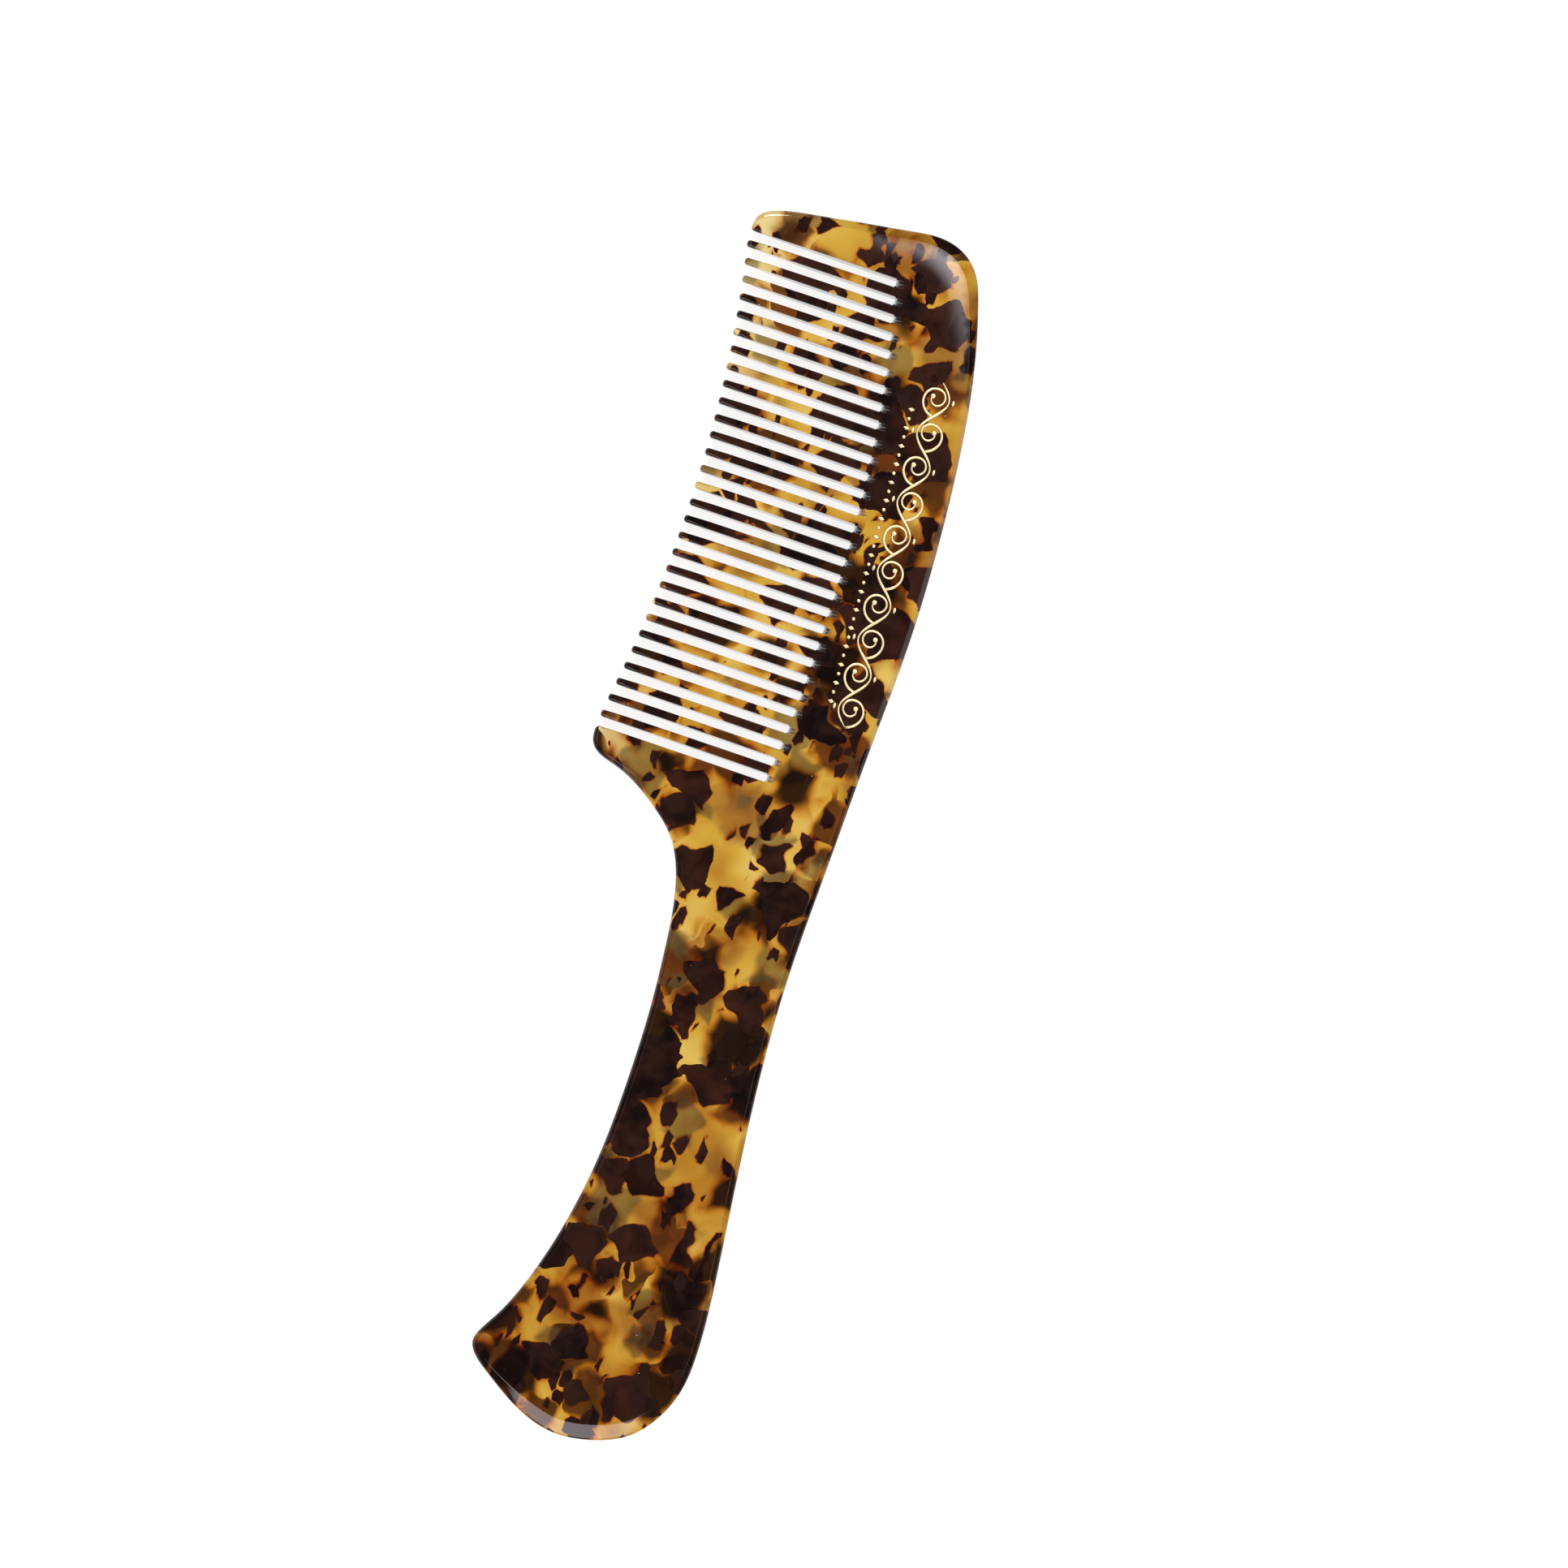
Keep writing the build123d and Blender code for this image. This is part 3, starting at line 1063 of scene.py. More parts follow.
@dataclass(frozen=True)
class ChipLayer:
    """One layer of acetate chips in the block: their sizes, their colours and how deep they look."""

    spacing_mm: float
    smallest: float         # the chips' reach from their middles, as a share of the spacing
    largest: float
    colour: str
    second_colour: str      # chips range between the two colours
    strength: float         # how much of what lies under it a chip hides
    edge_mm: float          # how far a chip's edge blurs into what is round it
    seed: float
    rim: str | None = None  # what a chip's thin edge tints the amber, where it has one
    rim_mm: float = 0.27
    wobble_mm: float = 0.9
    jag_mm: float = 0.06
    turn: tuple[float, float, float] = (0.4, 0.7, 0.2)
    stretch: tuple[float, float, float] = (1.0, 1.0, 1.0)


@dataclass(frozen=True)
class Wheel:
    """What buffing and use leave on the gloss: faint waves, drawn lines and specks of dust."""

    wave_mm: float = 14.0
    wave_depth_mm: float = 0.03
    line_mm: float = 0.3            # the lines are finer on a real comb, drawn as coarse as they need to show
    line_stretch: float = 0.06
    line_noise: Point = (0.45, 0.75)
    line_dulling: float = 2.2
    dust: str = "CFC6BC"
    dust_mm: float = 0.16
    dust_spacing_mm: float = 3.6


@dataclass(frozen=True)
class SawMarks:
    """What the saw leaves on the slot walls: satin, fine marks along the cut, and small pits."""

    roughness: float = 0.2
    sheen: float = 0.8              # a light wipe with the buff puts this much gloss over the marks
    sheen_roughness: float = 0.12
    mark_mm: float = 0.25
    mark_stretch: float = 0.12
    mark_depth_mm: float = 0.02
    pit_spacing_mm: float = 0.9
    pit_reach: float = 0.2
    pit_depth_mm: float = 0.08


@dataclass(frozen=True)
class TortoiseshellAcetate:
    """Block-pressed cellulose acetate, sawn to a slab and buffed to a high gloss.

    Chips of dark sheet lie at every depth in clear amber: those near the surface are crisp and
    nearly black, deeper ones look softer, browner or olive.
    """

    amber_deep: str = "AF7A24"
    amber: str = "C99F39"
    amber_pale: str = "DCBB5E"
    amber_drift_mm: float = 12.0
    amber_mottle: float = 0.55
    amber_thin: str = "E3D596"      # the teeth thin towards their tips, and the amber there looks paler
    thin_from_y: float = -13.0
    thin_to_y: float = -26.0
    thin_share: float = 0.75
    beds: Sequence[Sequence[ChipLayer]] = (
        (ChipLayer(12.0, 0.30, 0.78, "93581E", "74401A", 0.72, 2.8, 11.3, jag_mm=0.0, turn=(0.2, 1.1, 0.5)),),
        (ChipLayer(9.5, 0.28, 0.76, "5A2C12", "28150C", 0.88, 1.2, 23.9, rim="EDC088", rim_mm=1.2,
                   jag_mm=0.0, turn=(0.9, 0.3, 1.2)),),
        (ChipLayer(10.0, 0.25, 0.66, "5E4D2C", "38291B", 0.66, 1.0, 37.1, turn=(1.3, 0.6, 0.1)),),
        (ChipLayer(11.5, 0.25, 0.78, "080606", "150E0B", 0.95, 1.5, 83.9, rim="E8B67C", rim_mm=1.4,
                   jag_mm=0.0, turn=(0.1, 0.5, 0.8)),),
        (ChipLayer(8.4, 0.36, 0.88, "100A0A", "2F1C15", 0.97, 0.14, 51.7, rim="D9864A"),
         ChipLayer(5.3, 0.10, 0.64, "100A0A", "2B1913", 0.96, 0.14, 63.3, rim="D9864A",
                   turn=(0.6, 0.1, 0.9), stretch=(1.0, 1.7, 1.0))),
    )
    crowd_mm: float = 26.0      # the chips lie closer together in some places than in others
    crowd_swing: float = 0.55
    cloud_mm: float = 3.5       # the tone drifts inside each chip
    cloud_swing: float = 0.45
    cloud_noise: Point = (0.35, 0.65)
    seed_shares: Sequence[float] = (1.0, 0.7, 0.3)  # a layer's seed shifts it this way through its pattern
    wobble_size_mm: float = 5.0     # the bends in a chip's outline, and the nicks in it
    jag_size_mm: float = 0.9
    noise_spread: float = 5.0       # noise strays about a fifth of its range from its middle
    amber_noise: Sequence[float] = (0.30, 0.50, 0.72)
    ior: float = 1.48
    roughness: float = 0.045
    wheel: Wheel = Wheel()
    saw: SawMarks = SawMarks()

    def colour(self, tree: bpy.types.NodeTree) -> bpy.types.NodeSocket:
        """Lays the chips over the amber.

        Args:
            tree: the material's node tree.

        Returns:
            The socket that carries the colour.
        """
        place = add_node(tree, "ShaderNodeTexCoord").outputs["Object"]
        drift = add_node(tree, "ShaderNodeTexNoise", inputs={
            "Vector": place, "Scale": per_metre(self.amber_drift_mm), "Detail": 2.0,
            "Roughness": self.amber_mottle})
        amber = add_node(tree, "ShaderNodeValToRGB", inputs={"Fac": drift.outputs["Fac"]})
        tones = (self.amber_deep, self.amber, self.amber_pale)
        set_ramp(amber, [(stop, srgb(tone)) for stop, tone in zip(self.amber_noise, tones)])
        crowd = add_node(tree, "ShaderNodeTexNoise", inputs={
            "Vector": place, "Scale": per_metre(self.crowd_mm), "Detail": 1.0})
        more = add_node(tree, "ShaderNodeMath", {"operation": "MULTIPLY_ADD"}, {
            0: crowd.outputs["Fac"], 1: self.crowd_swing, 2: -self.crowd_swing / 2}).outputs["Value"]
        height = add_node(tree, "ShaderNodeSeparateXYZ", inputs={"Vector": place})
        thin = add_node(tree, "ShaderNodeMapRange", {"interpolation_type": "SMOOTHSTEP"}, {
            "Value": height.outputs["Y"], "From Min": self.thin_from_y * MM, "From Max": self.thin_to_y * MM,
            "To Min": 0.0, "To Max": self.thin_share})
        colour = add_node(tree, "ShaderNodeMix", {"data_type": "RGBA"}, {
            "Factor": thin.outputs["Result"], "A": amber.outputs["Color"],
            "B": srgb(self.amber_thin)}).outputs["Result"]
        for bed in self.beds:
            fields = [self.chips(tree, place, more, layer) for layer in bed]
            colour = self.lay_bed(tree, fields, colour, bed[0])
        return colour

    def chips(self, tree: bpy.types.NodeTree, place: bpy.types.NodeSocket, more: bpy.types.NodeSocket,
              layer: ChipLayer) -> tuple[bpy.types.NodeSocket, bpy.types.NodeSocket]:
        """Scatters one layer of chips through the block.

        Args:
            tree: the material's node tree.
            place: where on the object, in metres.
            more: how much larger the chips are here than elsewhere.
            layer: the chips to scatter.

        Returns:
            The sockets that carry how far the nearest chip's edge is, in millimetres and negative
            inside a chip, and that chip's colour.
        """
        shifted = add_node(tree, "ShaderNodeMapping", inputs={
            "Vector": place, "Location": tuple(layer.seed * share for share in self.seed_shares),
            "Rotation": layer.turn, "Scale": layer.stretch}).outputs["Vector"]
        for size, reach in ((self.wobble_size_mm, layer.wobble_mm), (self.jag_size_mm, layer.jag_mm)):
            noise = add_node(tree, "ShaderNodeTexNoise", inputs={
                "Vector": shifted, "Scale": per_metre(size), "Detail": 1.0})
            centred = add_node(tree, "ShaderNodeVectorMath", {"operation": "SUBTRACT"}, {
                0: noise.outputs["Color"], 1: (0.5, 0.5, 0.5)})
            push = add_node(tree, "ShaderNodeVectorMath", {"operation": "SCALE"}, {
                0: centred.outputs["Vector"], "Scale": reach * self.noise_spread * MM})
            shifted = add_node(tree, "ShaderNodeVectorMath", {"operation": "ADD"}, {
                0: shifted, 1: push.outputs["Vector"]}).outputs["Vector"]
        cells = add_node(tree, "ShaderNodeTexVoronoi", {"feature": "F1", "distance": "MANHATTAN"}, {
            "Vector": shifted, "Scale": per_metre(layer.spacing_mm), "Randomness": 1.0})
        draw = add_node(tree, "ShaderNodeSeparateColor", inputs={"Color": cells.outputs["Color"]})
        reach = add_node(tree, "ShaderNodeMapRange", inputs={
            "Value": draw.outputs["Red"], "To Min": layer.smallest, "To Max": layer.largest})
        grown = add_node(tree, "ShaderNodeMath", {"operation": "ADD"}, {
            0: reach.outputs["Result"], 1: more})
        beyond = add_node(tree, "ShaderNodeMath", {"operation": "SUBTRACT"}, {
            0: cells.outputs["Distance"], 1: grown.outputs["Value"]})
        # a chip's flats lie across all three axes, so its reach is the root of three times its thickness
        gap = add_node(tree, "ShaderNodeMath", {"operation": "MULTIPLY"}, {
            0: beyond.outputs["Value"], 1: layer.spacing_mm / math.sqrt(3)})
        cloud = add_node(tree, "ShaderNodeTexNoise", inputs={
            "Vector": shifted, "Scale": per_metre(self.cloud_mm), "Detail": 2.0})
        clouded = add_node(tree, "ShaderNodeMapRange", inputs={
            "Value": cloud.outputs["Fac"], "From Min": self.cloud_noise[0], "From Max": self.cloud_noise[1],
            "To Min": -self.cloud_swing, "To Max": self.cloud_swing})
        tone = add_node(tree, "ShaderNodeMath", {"operation": "ADD", "use_clamp": True}, {
            0: draw.outputs["Green"], 1: clouded.outputs["Result"]})
        chip = add_node(tree, "ShaderNodeMix", {"data_type": "RGBA"}, {
            "Factor": tone.outputs["Value"], "A": srgb(layer.colour), "B": srgb(layer.second_colour)})
        return gap.outputs["Value"], chip.outputs["Result"]

    def lay_bed(self, tree: bpy.types.NodeTree,
                fields: Sequence[tuple[bpy.types.NodeSocket, bpy.types.NodeSocket]],
                under: bpy.types.NodeSocket, layer: ChipLayer) -> bpy.types.NodeSocket:
        """Lays one bed of chips over a colour.

        Args:
            tree: the material's node tree.
            fields: each of the bed's layers, as chips() gives it.
            under: the colour under the bed.
            layer: the layer whose edge, strength and rim the bed has.

        Returns:
            The socket that carries the covered colour.
        """
        gap, chip = fields[0]
        for next_gap, next_chip in fields[1:]:
            nearer = add_node(tree, "ShaderNodeMath", {"operation": "LESS_THAN"}, {0: next_gap, 1: gap})
            chip = add_node(tree, "ShaderNodeMix", {"data_type": "RGBA"}, {
                "Factor": nearer.outputs["Value"], "A": chip, "B": next_chip}).outputs["Result"]
            least = add_node(tree, "ShaderNodeMath", {"operation": "MINIMUM"}, {0: gap, 1: next_gap})
            gap = least.outputs["Value"]
        if layer.rim:
            fringe = add_node(tree, "ShaderNodeMapRange", inputs={
                "Value": gap, "From Min": 0.0, "From Max": layer.rim_mm, "To Min": 1.0, "To Max": 0.0})
            under = add_node(tree, "ShaderNodeMix", {"data_type": "RGBA", "blend_type": "MULTIPLY"}, {
                "Factor": fringe.outputs["Result"], "A": under, "B": srgb(layer.rim)}).outputs["Result"]
        mask = add_node(tree, "ShaderNodeMapRange", {"interpolation_type": "SMOOTHSTEP"}, {
            "Value": gap, "From Min": -layer.edge_mm / 2, "From Max": layer.edge_mm / 2,
            "To Min": layer.strength, "To Max": 0.0})
        return add_node(tree, "ShaderNodeMix", {"data_type": "RGBA"}, {
            "Factor": mask.outputs["Result"], "A": under, "B": chip}).outputs["Result"]

    def polished(self) -> bpy.types.Material:
        """Finishes the faces and bevels: a hard wet gloss over the pattern, with the wheel's faint waves.

        Returns:
            The material.
        """
        wheel = self.wheel
        material, shader = start_material("acetate tortoiseshell, buffed", {"IOR": self.ior})
        tree = material.node_tree
        place = add_node(tree, "ShaderNodeTexCoord").outputs["Object"]
        dust = add_node(tree, "ShaderNodeTexVoronoi", inputs={
            "Vector": place, "Scale": per_metre(wheel.dust_spacing_mm), "Randomness": 1.0})
        near = add_node(tree, "ShaderNodeMath", {"operation": "LESS_THAN"}, {
            0: dust.outputs["Distance"], 1: wheel.dust_mm / 2 / wheel.dust_spacing_mm})
        dusted = add_node(tree, "ShaderNodeMix", {"data_type": "RGBA"}, {
            "Factor": near.outputs["Value"], "A": self.colour(tree), "B": srgb(wheel.dust)})
        tree.links.new(dusted.outputs["Result"], shader.inputs["Base Color"])
        drawn = add_node(tree, "ShaderNodeMapping", inputs={
            "Vector": place, "Scale": (wheel.line_stretch, 1.0, 1.0)})
        lines = add_node(tree, "ShaderNodeTexNoise", inputs={
            "Vector": drawn.outputs["Vector"], "Scale": per_metre(wheel.line_mm), "Detail": 2.0})
        dulled = add_node(tree, "ShaderNodeMapRange", inputs={
            "Value": lines.outputs["Fac"], "From Min": wheel.line_noise[0], "From Max": wheel.line_noise[1],
            "To Min": self.roughness, "To Max": self.roughness * wheel.line_dulling})
        tree.links.new(dulled.outputs["Result"], shader.inputs["Roughness"])
        waves = add_node(tree, "ShaderNodeTexNoise", inputs={
            "Vector": place, "Scale": per_metre(wheel.wave_mm), "Detail": 1.0})
        bump = add_node(tree, "ShaderNodeBump", inputs={
            "Height": waves.outputs["Fac"], "Distance": wheel.wave_depth_mm * MM, "Strength": 1.0})
        tree.links.new(bump.outputs["Normal"], shader.inputs["Normal"])
        return material

    def sawn(self) -> bpy.types.Material:
        """Finishes the slot walls: the same acetate as the saw left it, satin with marks along the cut.

        Returns:
            The material.
        """
        saw = self.saw
        material, shader = start_material("acetate tortoiseshell, sawn", {
            "IOR": self.ior, "Roughness": saw.roughness, "Coat Weight": saw.sheen,
            "Coat Roughness": saw.sheen_roughness})
        tree = material.node_tree
        tree.links.new(self.colour(tree), shader.inputs["Base Color"])
        place = add_node(tree, "ShaderNodeTexCoord").outputs["Object"]
        stretched = add_node(tree, "ShaderNodeMapping", inputs={
            "Vector": place, "Scale": (1.0, 1.0, saw.mark_stretch)})
        marks = add_node(tree, "ShaderNodeTexNoise", inputs={
            "Vector": stretched.outputs["Vector"], "Scale": per_metre(saw.mark_mm), "Detail": 3.0})
        bump = add_node(tree, "ShaderNodeBump", inputs={
            "Height": marks.outputs["Fac"], "Distance": saw.mark_depth_mm * MM, "Strength": 1.0})
        pits = add_node(tree, "ShaderNodeTexVoronoi", inputs={
            "Vector": place, "Scale": per_metre(saw.pit_spacing_mm), "Randomness": 1.0})
        depth = add_node(tree, "ShaderNodeMapRange", inputs={
            "Value": pits.outputs["Distance"], "From Min": 0.0, "From Max": saw.pit_reach})
        pitted = add_node(tree, "ShaderNodeBump", inputs={
            "Height": depth.outputs["Result"], "Distance": saw.pit_depth_mm * MM, "Strength": 1.0,
            "Normal": bump.outputs["Normal"]})
        tree.links.new(pitted.outputs["Normal"], shader.inputs["Normal"])
        return material


@dataclass(frozen=True)
class StampedGilt:
    """Gold stamping foil pressed hot into the acetate: pale, satin and finely broken by the die."""

    gold: str = "F0DDA8"
    # painted shadow: the dark line along the foil's edges stands in for the shade of the groove the foil is
    # pressed into
    outline_shadow: str = "5A3A1C"
    grain_mm: float = 0.16
    grain_depth_mm: float = 0.02
    metallic: float = 0.75          # the lacquer over the foil mutes the metal a little
    roughness: float = 0.34
    shadow_breakup: float = 0.4               # how far the grain breaks up the painted shadow line
    # where the ramp turns from the gold to the painted shadow line
    shadow_stops: Point = (0.62, 0.95)

    def material(self) -> bpy.types.Material:
        """Makes the foil, with a painted shadow line along its edges that stands in for the shade of the
        shallow groove it is pressed into.

        Returns:
            The material.
        """
        material, shader = start_material("gilt foil, hot stamped", {
            "Metallic": self.metallic, "Roughness": self.roughness})
        tree = material.node_tree
        edge = add_node(tree, "ShaderNodeAttribute", {"attribute_name": "edge"})
        place = add_node(tree, "ShaderNodeTexCoord").outputs["Object"]
        grain = add_node(tree, "ShaderNodeTexNoise", inputs={
            "Vector": place, "Scale": per_metre(self.grain_mm), "Detail": 2.0})
        # the painted shadow line: darkest at the foil's edges, broken up by the grain
        broken_shadow = add_node(tree, "ShaderNodeMath", {"operation": "MULTIPLY_ADD"}, {
            0: grain.outputs["Fac"], 1: self.shadow_breakup, 2: edge.outputs["Fac"]})
        ramp = add_node(tree, "ShaderNodeValToRGB", inputs={"Fac": broken_shadow.outputs["Value"]})
        set_ramp(ramp, list(zip(self.shadow_stops, (srgb(self.gold), srgb(self.outline_shadow)))))
        tree.links.new(ramp.outputs["Color"], shader.inputs["Base Color"])
        bump = add_node(tree, "ShaderNodeBump", inputs={
            "Height": grain.outputs["Fac"], "Distance": self.grain_depth_mm * MM, "Strength": 1.0})
        tree.links.new(bump.outputs["Normal"], shader.inputs["Normal"])
        return material


# ---------------------------------------------------------------------------- ornament


@dataclass
class FoilMesh:
    """Foil strokes and spots gathered into one mesh."""

    name: str
    base_z: float
    height: float
    stroke_section: Sequence[Station] = ((1.2, 0.0, 1.0), (0.95, 0.6, 0.7), (0.55, 1.0, 0.0))
    spot_section: Sequence[Station] = ((1.1, 0.0, 1.0), (0.92, 0.6, 0.7), (0.7, 1.0, 0.0))
    vertices: list[tuple[float, float, float]] = field(default_factory=list)
    faces: list[tuple[int, ...]] = field(default_factory=list)
    edges: list[float] = field(default_factory=list)

    def add_vertex(self, x: float, y: float, rise: float, edge: float) -> None:
        """Adds a vertex at a share of the foil's height, with how near it is to the die's edge."""
        self.vertices.append((x, y, self.base_z + rise * self.height))
        self.edges.append(edge)

    def ring(self, centre: Point, across: Point, half: float, lift: float) -> list[int]:
        """Adds one cross-section of a stroke: a low pillow with its edges on the acetate.

        Args:
            centre: x and y of its middle.
            across: the unit direction across the stroke.
            half: half the stroke's width there.
            lift: its height there, as a share of the foil's full height.

        Returns:
            The numbers of its vertices.
        """
        first = len(self.vertices)
        left = [(-side, rise, edge) for side, rise, edge in self.stroke_section]
        for side, rise, edge in (*left, *reversed(self.stroke_section)):
            self.add_vertex(centre[0] + across[0] * side * half, centre[1] + across[1] * side * half,
                            rise * lift, edge)
        return list(range(first, len(self.vertices)))

    def stroke(self, points: np.ndarray, halves: np.ndarray, lifts: np.ndarray) -> None:
        """Adds a stroke.

        Args:
            points: x and y along its middle.
            halves: half its width at each point.
            lifts: its height at each point, as a share of the foil's full height.
        """
        along = unit(np.gradient(points, axis=0))
        rings = [self.ring(tuple(point), (-step[1], step[0]), half, lift)
                 for point, step, half, lift in zip(points, along, halves, lifts)]
        for low, high in zip(rings[:-1], rings[1:]):
            for k in range(len(low)):
                after = (k + 1) % len(low)
                self.faces.append((low[k], high[k], high[after], low[after]))
        self.faces.append(tuple(rings[0]))
        self.faces.append(tuple(reversed(rings[-1])))

    def spot(self, outline: np.ndarray) -> None:
        """Adds a small domed spot.

        Args:
            outline: x and y round it, anticlockwise.
        """
        centre = outline.mean(axis=0)
        rings = []
        for share, rise, edge in self.spot_section:
            first = len(self.vertices)
            for x, y in centre + (outline - centre) * share:
                self.add_vertex(x, y, rise, edge)
            rings.append(list(range(first, len(self.vertices))))
        for low, high in zip(rings[:-1], rings[1:]):
            for k in range(len(low)):
                after = (k + 1) % len(low)
                self.faces.append((low[k], low[after], high[after], high[k]))
        self.faces.append(tuple(rings[-1]))
        self.faces.append(tuple(reversed(rings[0])))

    def build(self, material: bpy.types.Material, node: str) -> bpy.types.Object:
        """Makes the object in place of its frame node's part and hangs it on the body.

        Args:
            material: the foil.
            node: the frame node that it stands for.

        Returns:
            The object.
        """
        mesh = bpy.data.meshes.new(self.name)
        mesh.from_pydata((np.array(self.vertices) * MM).tolist(), [], self.faces, shade_flat=False)
        # how near each vertex is to the foil's edge, which the foil material darkens into a painted shadow
        # line
        attribute = mesh.attributes.new("edge", "FLOAT", "POINT")
        attribute.data.foreach_set("value", self.edges)
        mesh.materials.append(material)
        piece = add_object(self.name, mesh)
        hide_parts(node)
        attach(piece, BODY)
        return piece


@dataclass
class GiltOrnament:
    """The running vine and the row of beads stamped on the spine."""

    waves: int = 5
    stroke: float = 0.36
    swing: float = 1.9
    curl_drop: float = 0.35
    curl_turns: float = 1.35
    curl_tightness: float = 0.17
    curl_taper: Point = (1.15, 0.7)
    stem_swell: float = 0.25
    end_width: float = 0.25         # a stem's end tapers to this share of its width
    end_height: float = 0.1         # and a stroke's end dives to this share of its height
    stem_end: float = 0.03          # over this share of the stem's length
    curl_end: float = 0.05          # and of a curl's
    curl_height: float = 0.92       # the curls lie a little under the stem and the buds
    stem_points: int = 40
    curl_points: int = 60
    leaf_pinch: float = 0.35
    bud_radius: float = 0.42
    leaf_offset: float = 2.65
    leaf_half: Point = (0.8, 0.26)
    bead_count: int = 33
    bead_radius: float = 0.3
    lozenge_half: Point = (0.36, 0.62)
    vine_start: Point = (-82.0, 12.4)
    vine_end: Point = (-22.0, 15.7)
    bead_start: Point = (-76.0, 8.9)
    bead_end: Point = (-25.4, 12.1)

    def place(self, points: np.ndarray) -> np.ndarray:
        """Turns points along the vine's own line into points on the spine.

        Args:
            points: how far along the line each is, and how far to its left.

        Returns:
            x and y of each point.
        """
        start, end = np.array(self.vine_start), np.array(self.vine_end)
        along = (end - start) / np.linalg.norm(end - start)
        square = np.array([-along[1], along[0]])
        return start + points[:, :1] * along + points[:, 1:] * square

    def curl(self, bend: int, half_wave: float) -> np.ndarray:
        """Draws the spiral that leaves the stem at the end of a bend and winds up in its hollow.

        Args:
            bend: which bend, from the start of the vine.
            half_wave: the length of a bend.

        Returns:
            Points along the vine's own line.
        """
        side = -1 if bend % 2 else 1
        share = np.linspace(0, 1, self.curl_points)
        turn = self.curl_turns * 2 * math.pi * share
        radius = half_wave / 2 * np.exp(-self.curl_tightness * turn)
        x = (bend + 0.5) * half_wave + radius * np.cos(turn)
        y = -side * (self.curl_drop * share + radius * np.sin(turn))
        return np.column_stack([x, y])

    @staticmethod
    def circle(corners: int) -> np.ndarray:
        """Evenly spaced points round a circle of radius 1."""
        turns = np.linspace(0, 2 * math.pi, corners + 1)[:-1]
        return np.column_stack([np.cos(turns), np.sin(turns)])

    @staticmethod
    def foil_on(node: str) -> FoilMesh:
        """An empty foil mesh at the height of a frame node."""
        low, high = box_mm(node)
        return FoilMesh(f"{node}_foil", float(low[2]), float(high[2] - low[2]))

    def build(self, material: bpy.types.Material) -> list[bpy.types.Object]:
        """Makes the vine and the beads.

        Args:
            material: the foil.

        Returns:
            The two pieces.
        """
        foil = self.foil_on("gilt_vine")
        length = math.dist(self.vine_start, self.vine_end)
        half_wave = length / self.waves / 2
        share = np.linspace(0, 1, self.stem_points * self.waves + 1)
        stem = np.column_stack([share * length, self.swing * np.sin(share * self.waves * 2 * math.pi)])
        swell = 1 + self.stem_swell * np.cos(share * self.waves * 4 * math.pi)
        taper = smoothstep(0, self.stem_end, share) * smoothstep(1, 1 - self.stem_end, share)
        width = self.stroke / 2 * swell * (self.end_width + (1 - self.end_width) * taper)
        foil.stroke(self.place(stem), width, self.end_height + (1 - self.end_height) * taper)
        ring = self.circle(16)
        leaf = ring * np.array(self.leaf_half) * (1 - self.leaf_pinch * np.abs(ring[:, :1]))
        for bend in range(self.waves * 2):
            side = -1 if bend % 2 else 1
            curl = self.curl(bend, half_wave)
            ends = np.linspace(0, 1, len(curl))
            dive = smoothstep(0, self.curl_end, ends) * smoothstep(1, 1 - self.curl_end, ends)
            foil.stroke(self.place(curl), self.stroke / 2 * np.linspace(*self.curl_taper, len(curl)),
                        self.end_height + (self.curl_height - self.end_height) * dive)
            foil.spot(self.place(curl[-1] + ring * self.bud_radius))
            foil.spot(self.place(np.array([(bend + 0.5) * half_wave, side * self.leaf_offset]) + leaf))
        vine = foil.build(material, "gilt_vine")

        beads = self.foil_on("gilt_beads")
        start, end = np.array(self.bead_start), np.array(self.bead_end)
        ring = self.circle(12) * self.bead_radius
        wide, tall = self.lozenge_half
        lozenge = np.array([(wide, 0.0), (0.0, tall), (-wide, 0.0), (0.0, -tall)])
        for index in range(self.bead_count):
            centre = start + (end - start) * index / (self.bead_count - 1)
            beads.spot(centre + (ring if index % 2 else lozenge))
        return [vine, beads.build(material, "gilt_beads")]


# ---------------------------------------------------------------------------- studio


@dataclass(frozen=True)
class Glow:
    """A soft round glow in the room, which the gloss mirrors."""

    towards: Station
    full_degrees: float             # it is even out to here
    faded_degrees: float            # and gone from here
    radiance: float


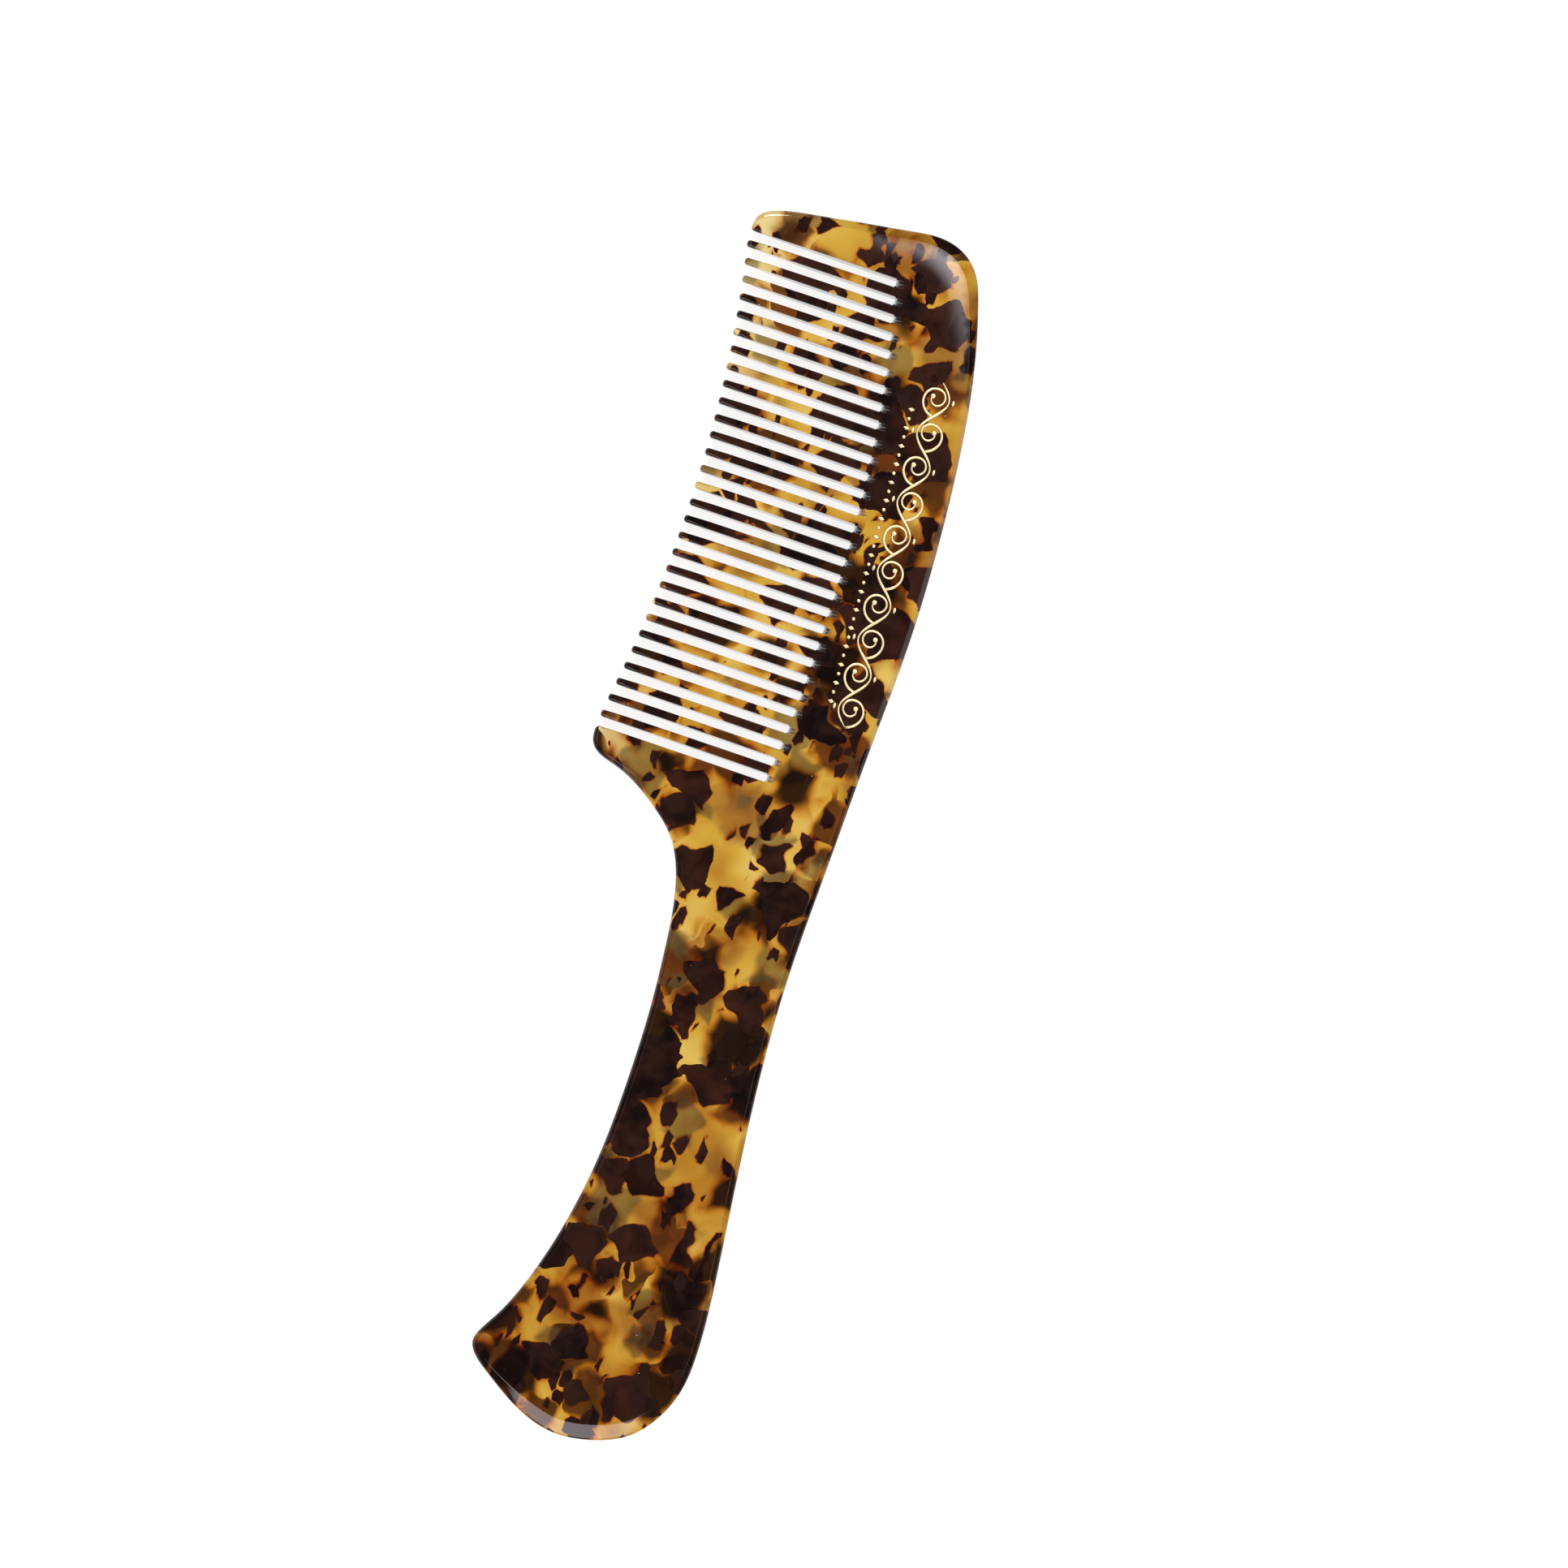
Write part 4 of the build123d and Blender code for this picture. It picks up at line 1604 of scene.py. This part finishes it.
@dataclass
class Studio:
    """The pale floor, the soft light and the camera."""

    frame_mm: float = 261.8           # what the camera takes in across the comb's face
    aim: Point = (-9.7, 9.2)
    turn_degrees: float = 19.03       # how far the teeth are turned from level in the view
    tilt_degrees: float = 3.5
    focal_mm: float = 235.0
    sensor_mm: float = 36.0
    camera_reach_m: float = 50.0
    floor_half_m: float = 4.0
    floor_base: str = "707070"
    floor_roughness: float = 0.9
    floor_drop_mm: float = 0.02
    floor_colour: str = "F4F3F2"
    floor_glow: float = 1.0
    backdrop_glow: float = 1.12       # as bright as the lit floor, so no horizon shows
    room_colour: str = "FBF7FF"
    room_glow: float = 0.04
    glows: Sequence[Glow] = (
        Glow((-0.31, 0.09, 1.0), 4.0, 11.0, 9.0),       # the veil inside the toe's bevel
        Glow((0.68, 0.05, 0.73), 19.0, 30.0, 4.3),      # the pale band on the butt's bevel
        Glow((-0.10, 0.57, 0.82), 4.0, 14.0, 2.5),      # the spine's bevel
        Glow((0.0, -0.60, 0.80), 4.0, 14.0, 1.5),       # the tooth tips
    )
    lamp_towards: Station = (-0.62, -0.42, 0.85)
    lamp_size_m: Point = (0.2, 0.2)
    lamp_distance_m: float = 1.3
    lamp_watts: float = 6.5

    def directions(self) -> tuple[Vector, Vector, Vector]:
        """Turns the view to the comb.

        Returns:
            The view's right, up and backward directions.
        """
        turn, tilt = math.radians(self.turn_degrees), math.radians(self.tilt_degrees)
        down = Vector((math.cos(turn), math.sin(turn), 0.0))
        back = Vector((0, 0, math.cos(tilt))) + down * math.sin(tilt)
        right = Vector((-math.sin(turn), math.cos(turn), 0.0))
        return right, back.cross(right), back

    def add_camera(self, face_z: float) -> None:
        """Sets the camera over the comb's front face.

        Args:
            face_z: the height of the face in metres.
        """
        right, up, back = self.directions()
        half = math.atan(self.sensor_mm / 2 / self.focal_mm)
        distance = self.frame_mm * MM / 2 / math.tan(half)
        data = bpy.data.cameras.new("camera")
        data.lens = self.focal_mm
        data.sensor_width = self.sensor_mm
        data.clip_end = self.camera_reach_m
        camera = add_object("camera", data)
        camera.location = Vector((self.aim[0] * MM, self.aim[1] * MM, face_z)) + back * distance
        matrix = camera.matrix_world.copy()
        for row in range(3):
            matrix[row][0], matrix[row][1], matrix[row][2] = right[row], up[row], back[row]
        camera.rotation_mode = "QUATERNION"
        camera.rotation_quaternion = matrix.to_quaternion()
        bpy.context.scene.camera = camera

    def add_floor(self) -> None:
        """Lays a pale, softly glowing floor under the comb, as a light table is."""
        half = self.floor_half_m
        mesh = bpy.data.meshes.new("floor")
        mesh.from_pydata([(-half, -half, 0), (half, -half, 0), (half, half, 0), (-half, half, 0)],
                         [], [(0, 1, 2, 3)])
        material, _ = start_material("opal acrylic, lit from below", {
            "Base Color": srgb(self.floor_base), "Roughness": self.floor_roughness, "Specular IOR Level": 0.0,
            "Emission Color": srgb(self.floor_colour), "Emission Strength": self.floor_glow})
        mesh.materials.append(material)
        floor = add_object("floor", mesh)
        floor.location.z = -self.floor_drop_mm * MM

    def add_lamp(self) -> None:
        """Hangs the small hard lamp that glints on the tips."""
        towards = Vector(self.lamp_towards)
        data = bpy.data.lights.new("glint_lamp", "AREA")
        data.shape = "RECTANGLE"
        data.size, data.size_y = self.lamp_size_m
        data.energy = self.lamp_watts
        lamp = add_object("glint_lamp", data)
        lamp.location = towards.normalized() * self.lamp_distance_m
        lamp.rotation_mode = "QUATERNION"
        lamp.rotation_quaternion = towards.to_track_quat("Z", "Y")

    def add_world(self) -> None:
        """Makes a dim room for the gloss to mirror, with a pale backdrop behind what the camera sees."""
        world = bpy.data.worlds.new("studio")
        bpy.context.scene.world = world
        world.use_nodes = True
        tree = world.node_tree
        tree.nodes.clear()
        direction = add_node(tree, "ShaderNodeTexCoord").outputs["Generated"]
        strength: float | bpy.types.NodeSocket = self.room_glow
        for glow in self.glows:
            dot = add_node(tree, "ShaderNodeVectorMath", {"operation": "DOT_PRODUCT"}, {
                0: direction, 1: tuple(Vector(glow.towards).normalized())})
            lobe = add_node(tree, "ShaderNodeMapRange", {"interpolation_type": "SMOOTHSTEP"}, {
                "Value": dot.outputs["Value"], "From Min": math.cos(math.radians(glow.faded_degrees)),
                "From Max": math.cos(math.radians(glow.full_degrees)),
                "To Min": 0.0, "To Max": glow.radiance})
            strength = add_node(tree, "ShaderNodeMath", {"operation": "ADD"}, {
                0: strength, 1: lobe.outputs["Result"]}).outputs["Value"]
        lit = add_node(tree, "ShaderNodeBackground", inputs={
            "Color": srgb(self.room_colour), "Strength": strength})
        backdrop = add_node(tree, "ShaderNodeBackground", inputs={
            "Color": srgb(self.floor_colour), "Strength": self.backdrop_glow})
        path = add_node(tree, "ShaderNodeLightPath")
        mix = add_node(tree, "ShaderNodeMixShader", inputs={
            "Fac": path.outputs["Is Camera Ray"], 1: lit.outputs["Background"],
            2: backdrop.outputs["Background"]})
        add_node(tree, "ShaderNodeOutputWorld", inputs={"Surface": mix.outputs["Shader"]})

    def build(self) -> None:
        """Sets up the whole studio."""
        bpy.context.scene.view_settings.view_transform = "Standard"
        self.add_camera(CAD_BOX[1].z)
        self.add_floor()
        self.add_world()
        self.add_lamp()


def main() -> None:
    """Builds the comb, its ornament and the studio, in that order."""
    logging.basicConfig(level=logging.INFO, format="%(name)s: %(message)s")
    acetate = TortoiseshellAcetate()
    pieces = AcetateComb(CombShape(), (acetate.polished(), acetate.sawn())).build()
    pieces += GiltOrnament().build(StampedGilt().material())
    for piece in pieces:
        log.info("%s: %d faces", piece.name, len(piece.data.polygons))
    Studio().build()


if __name__ == "__main__":
    main()
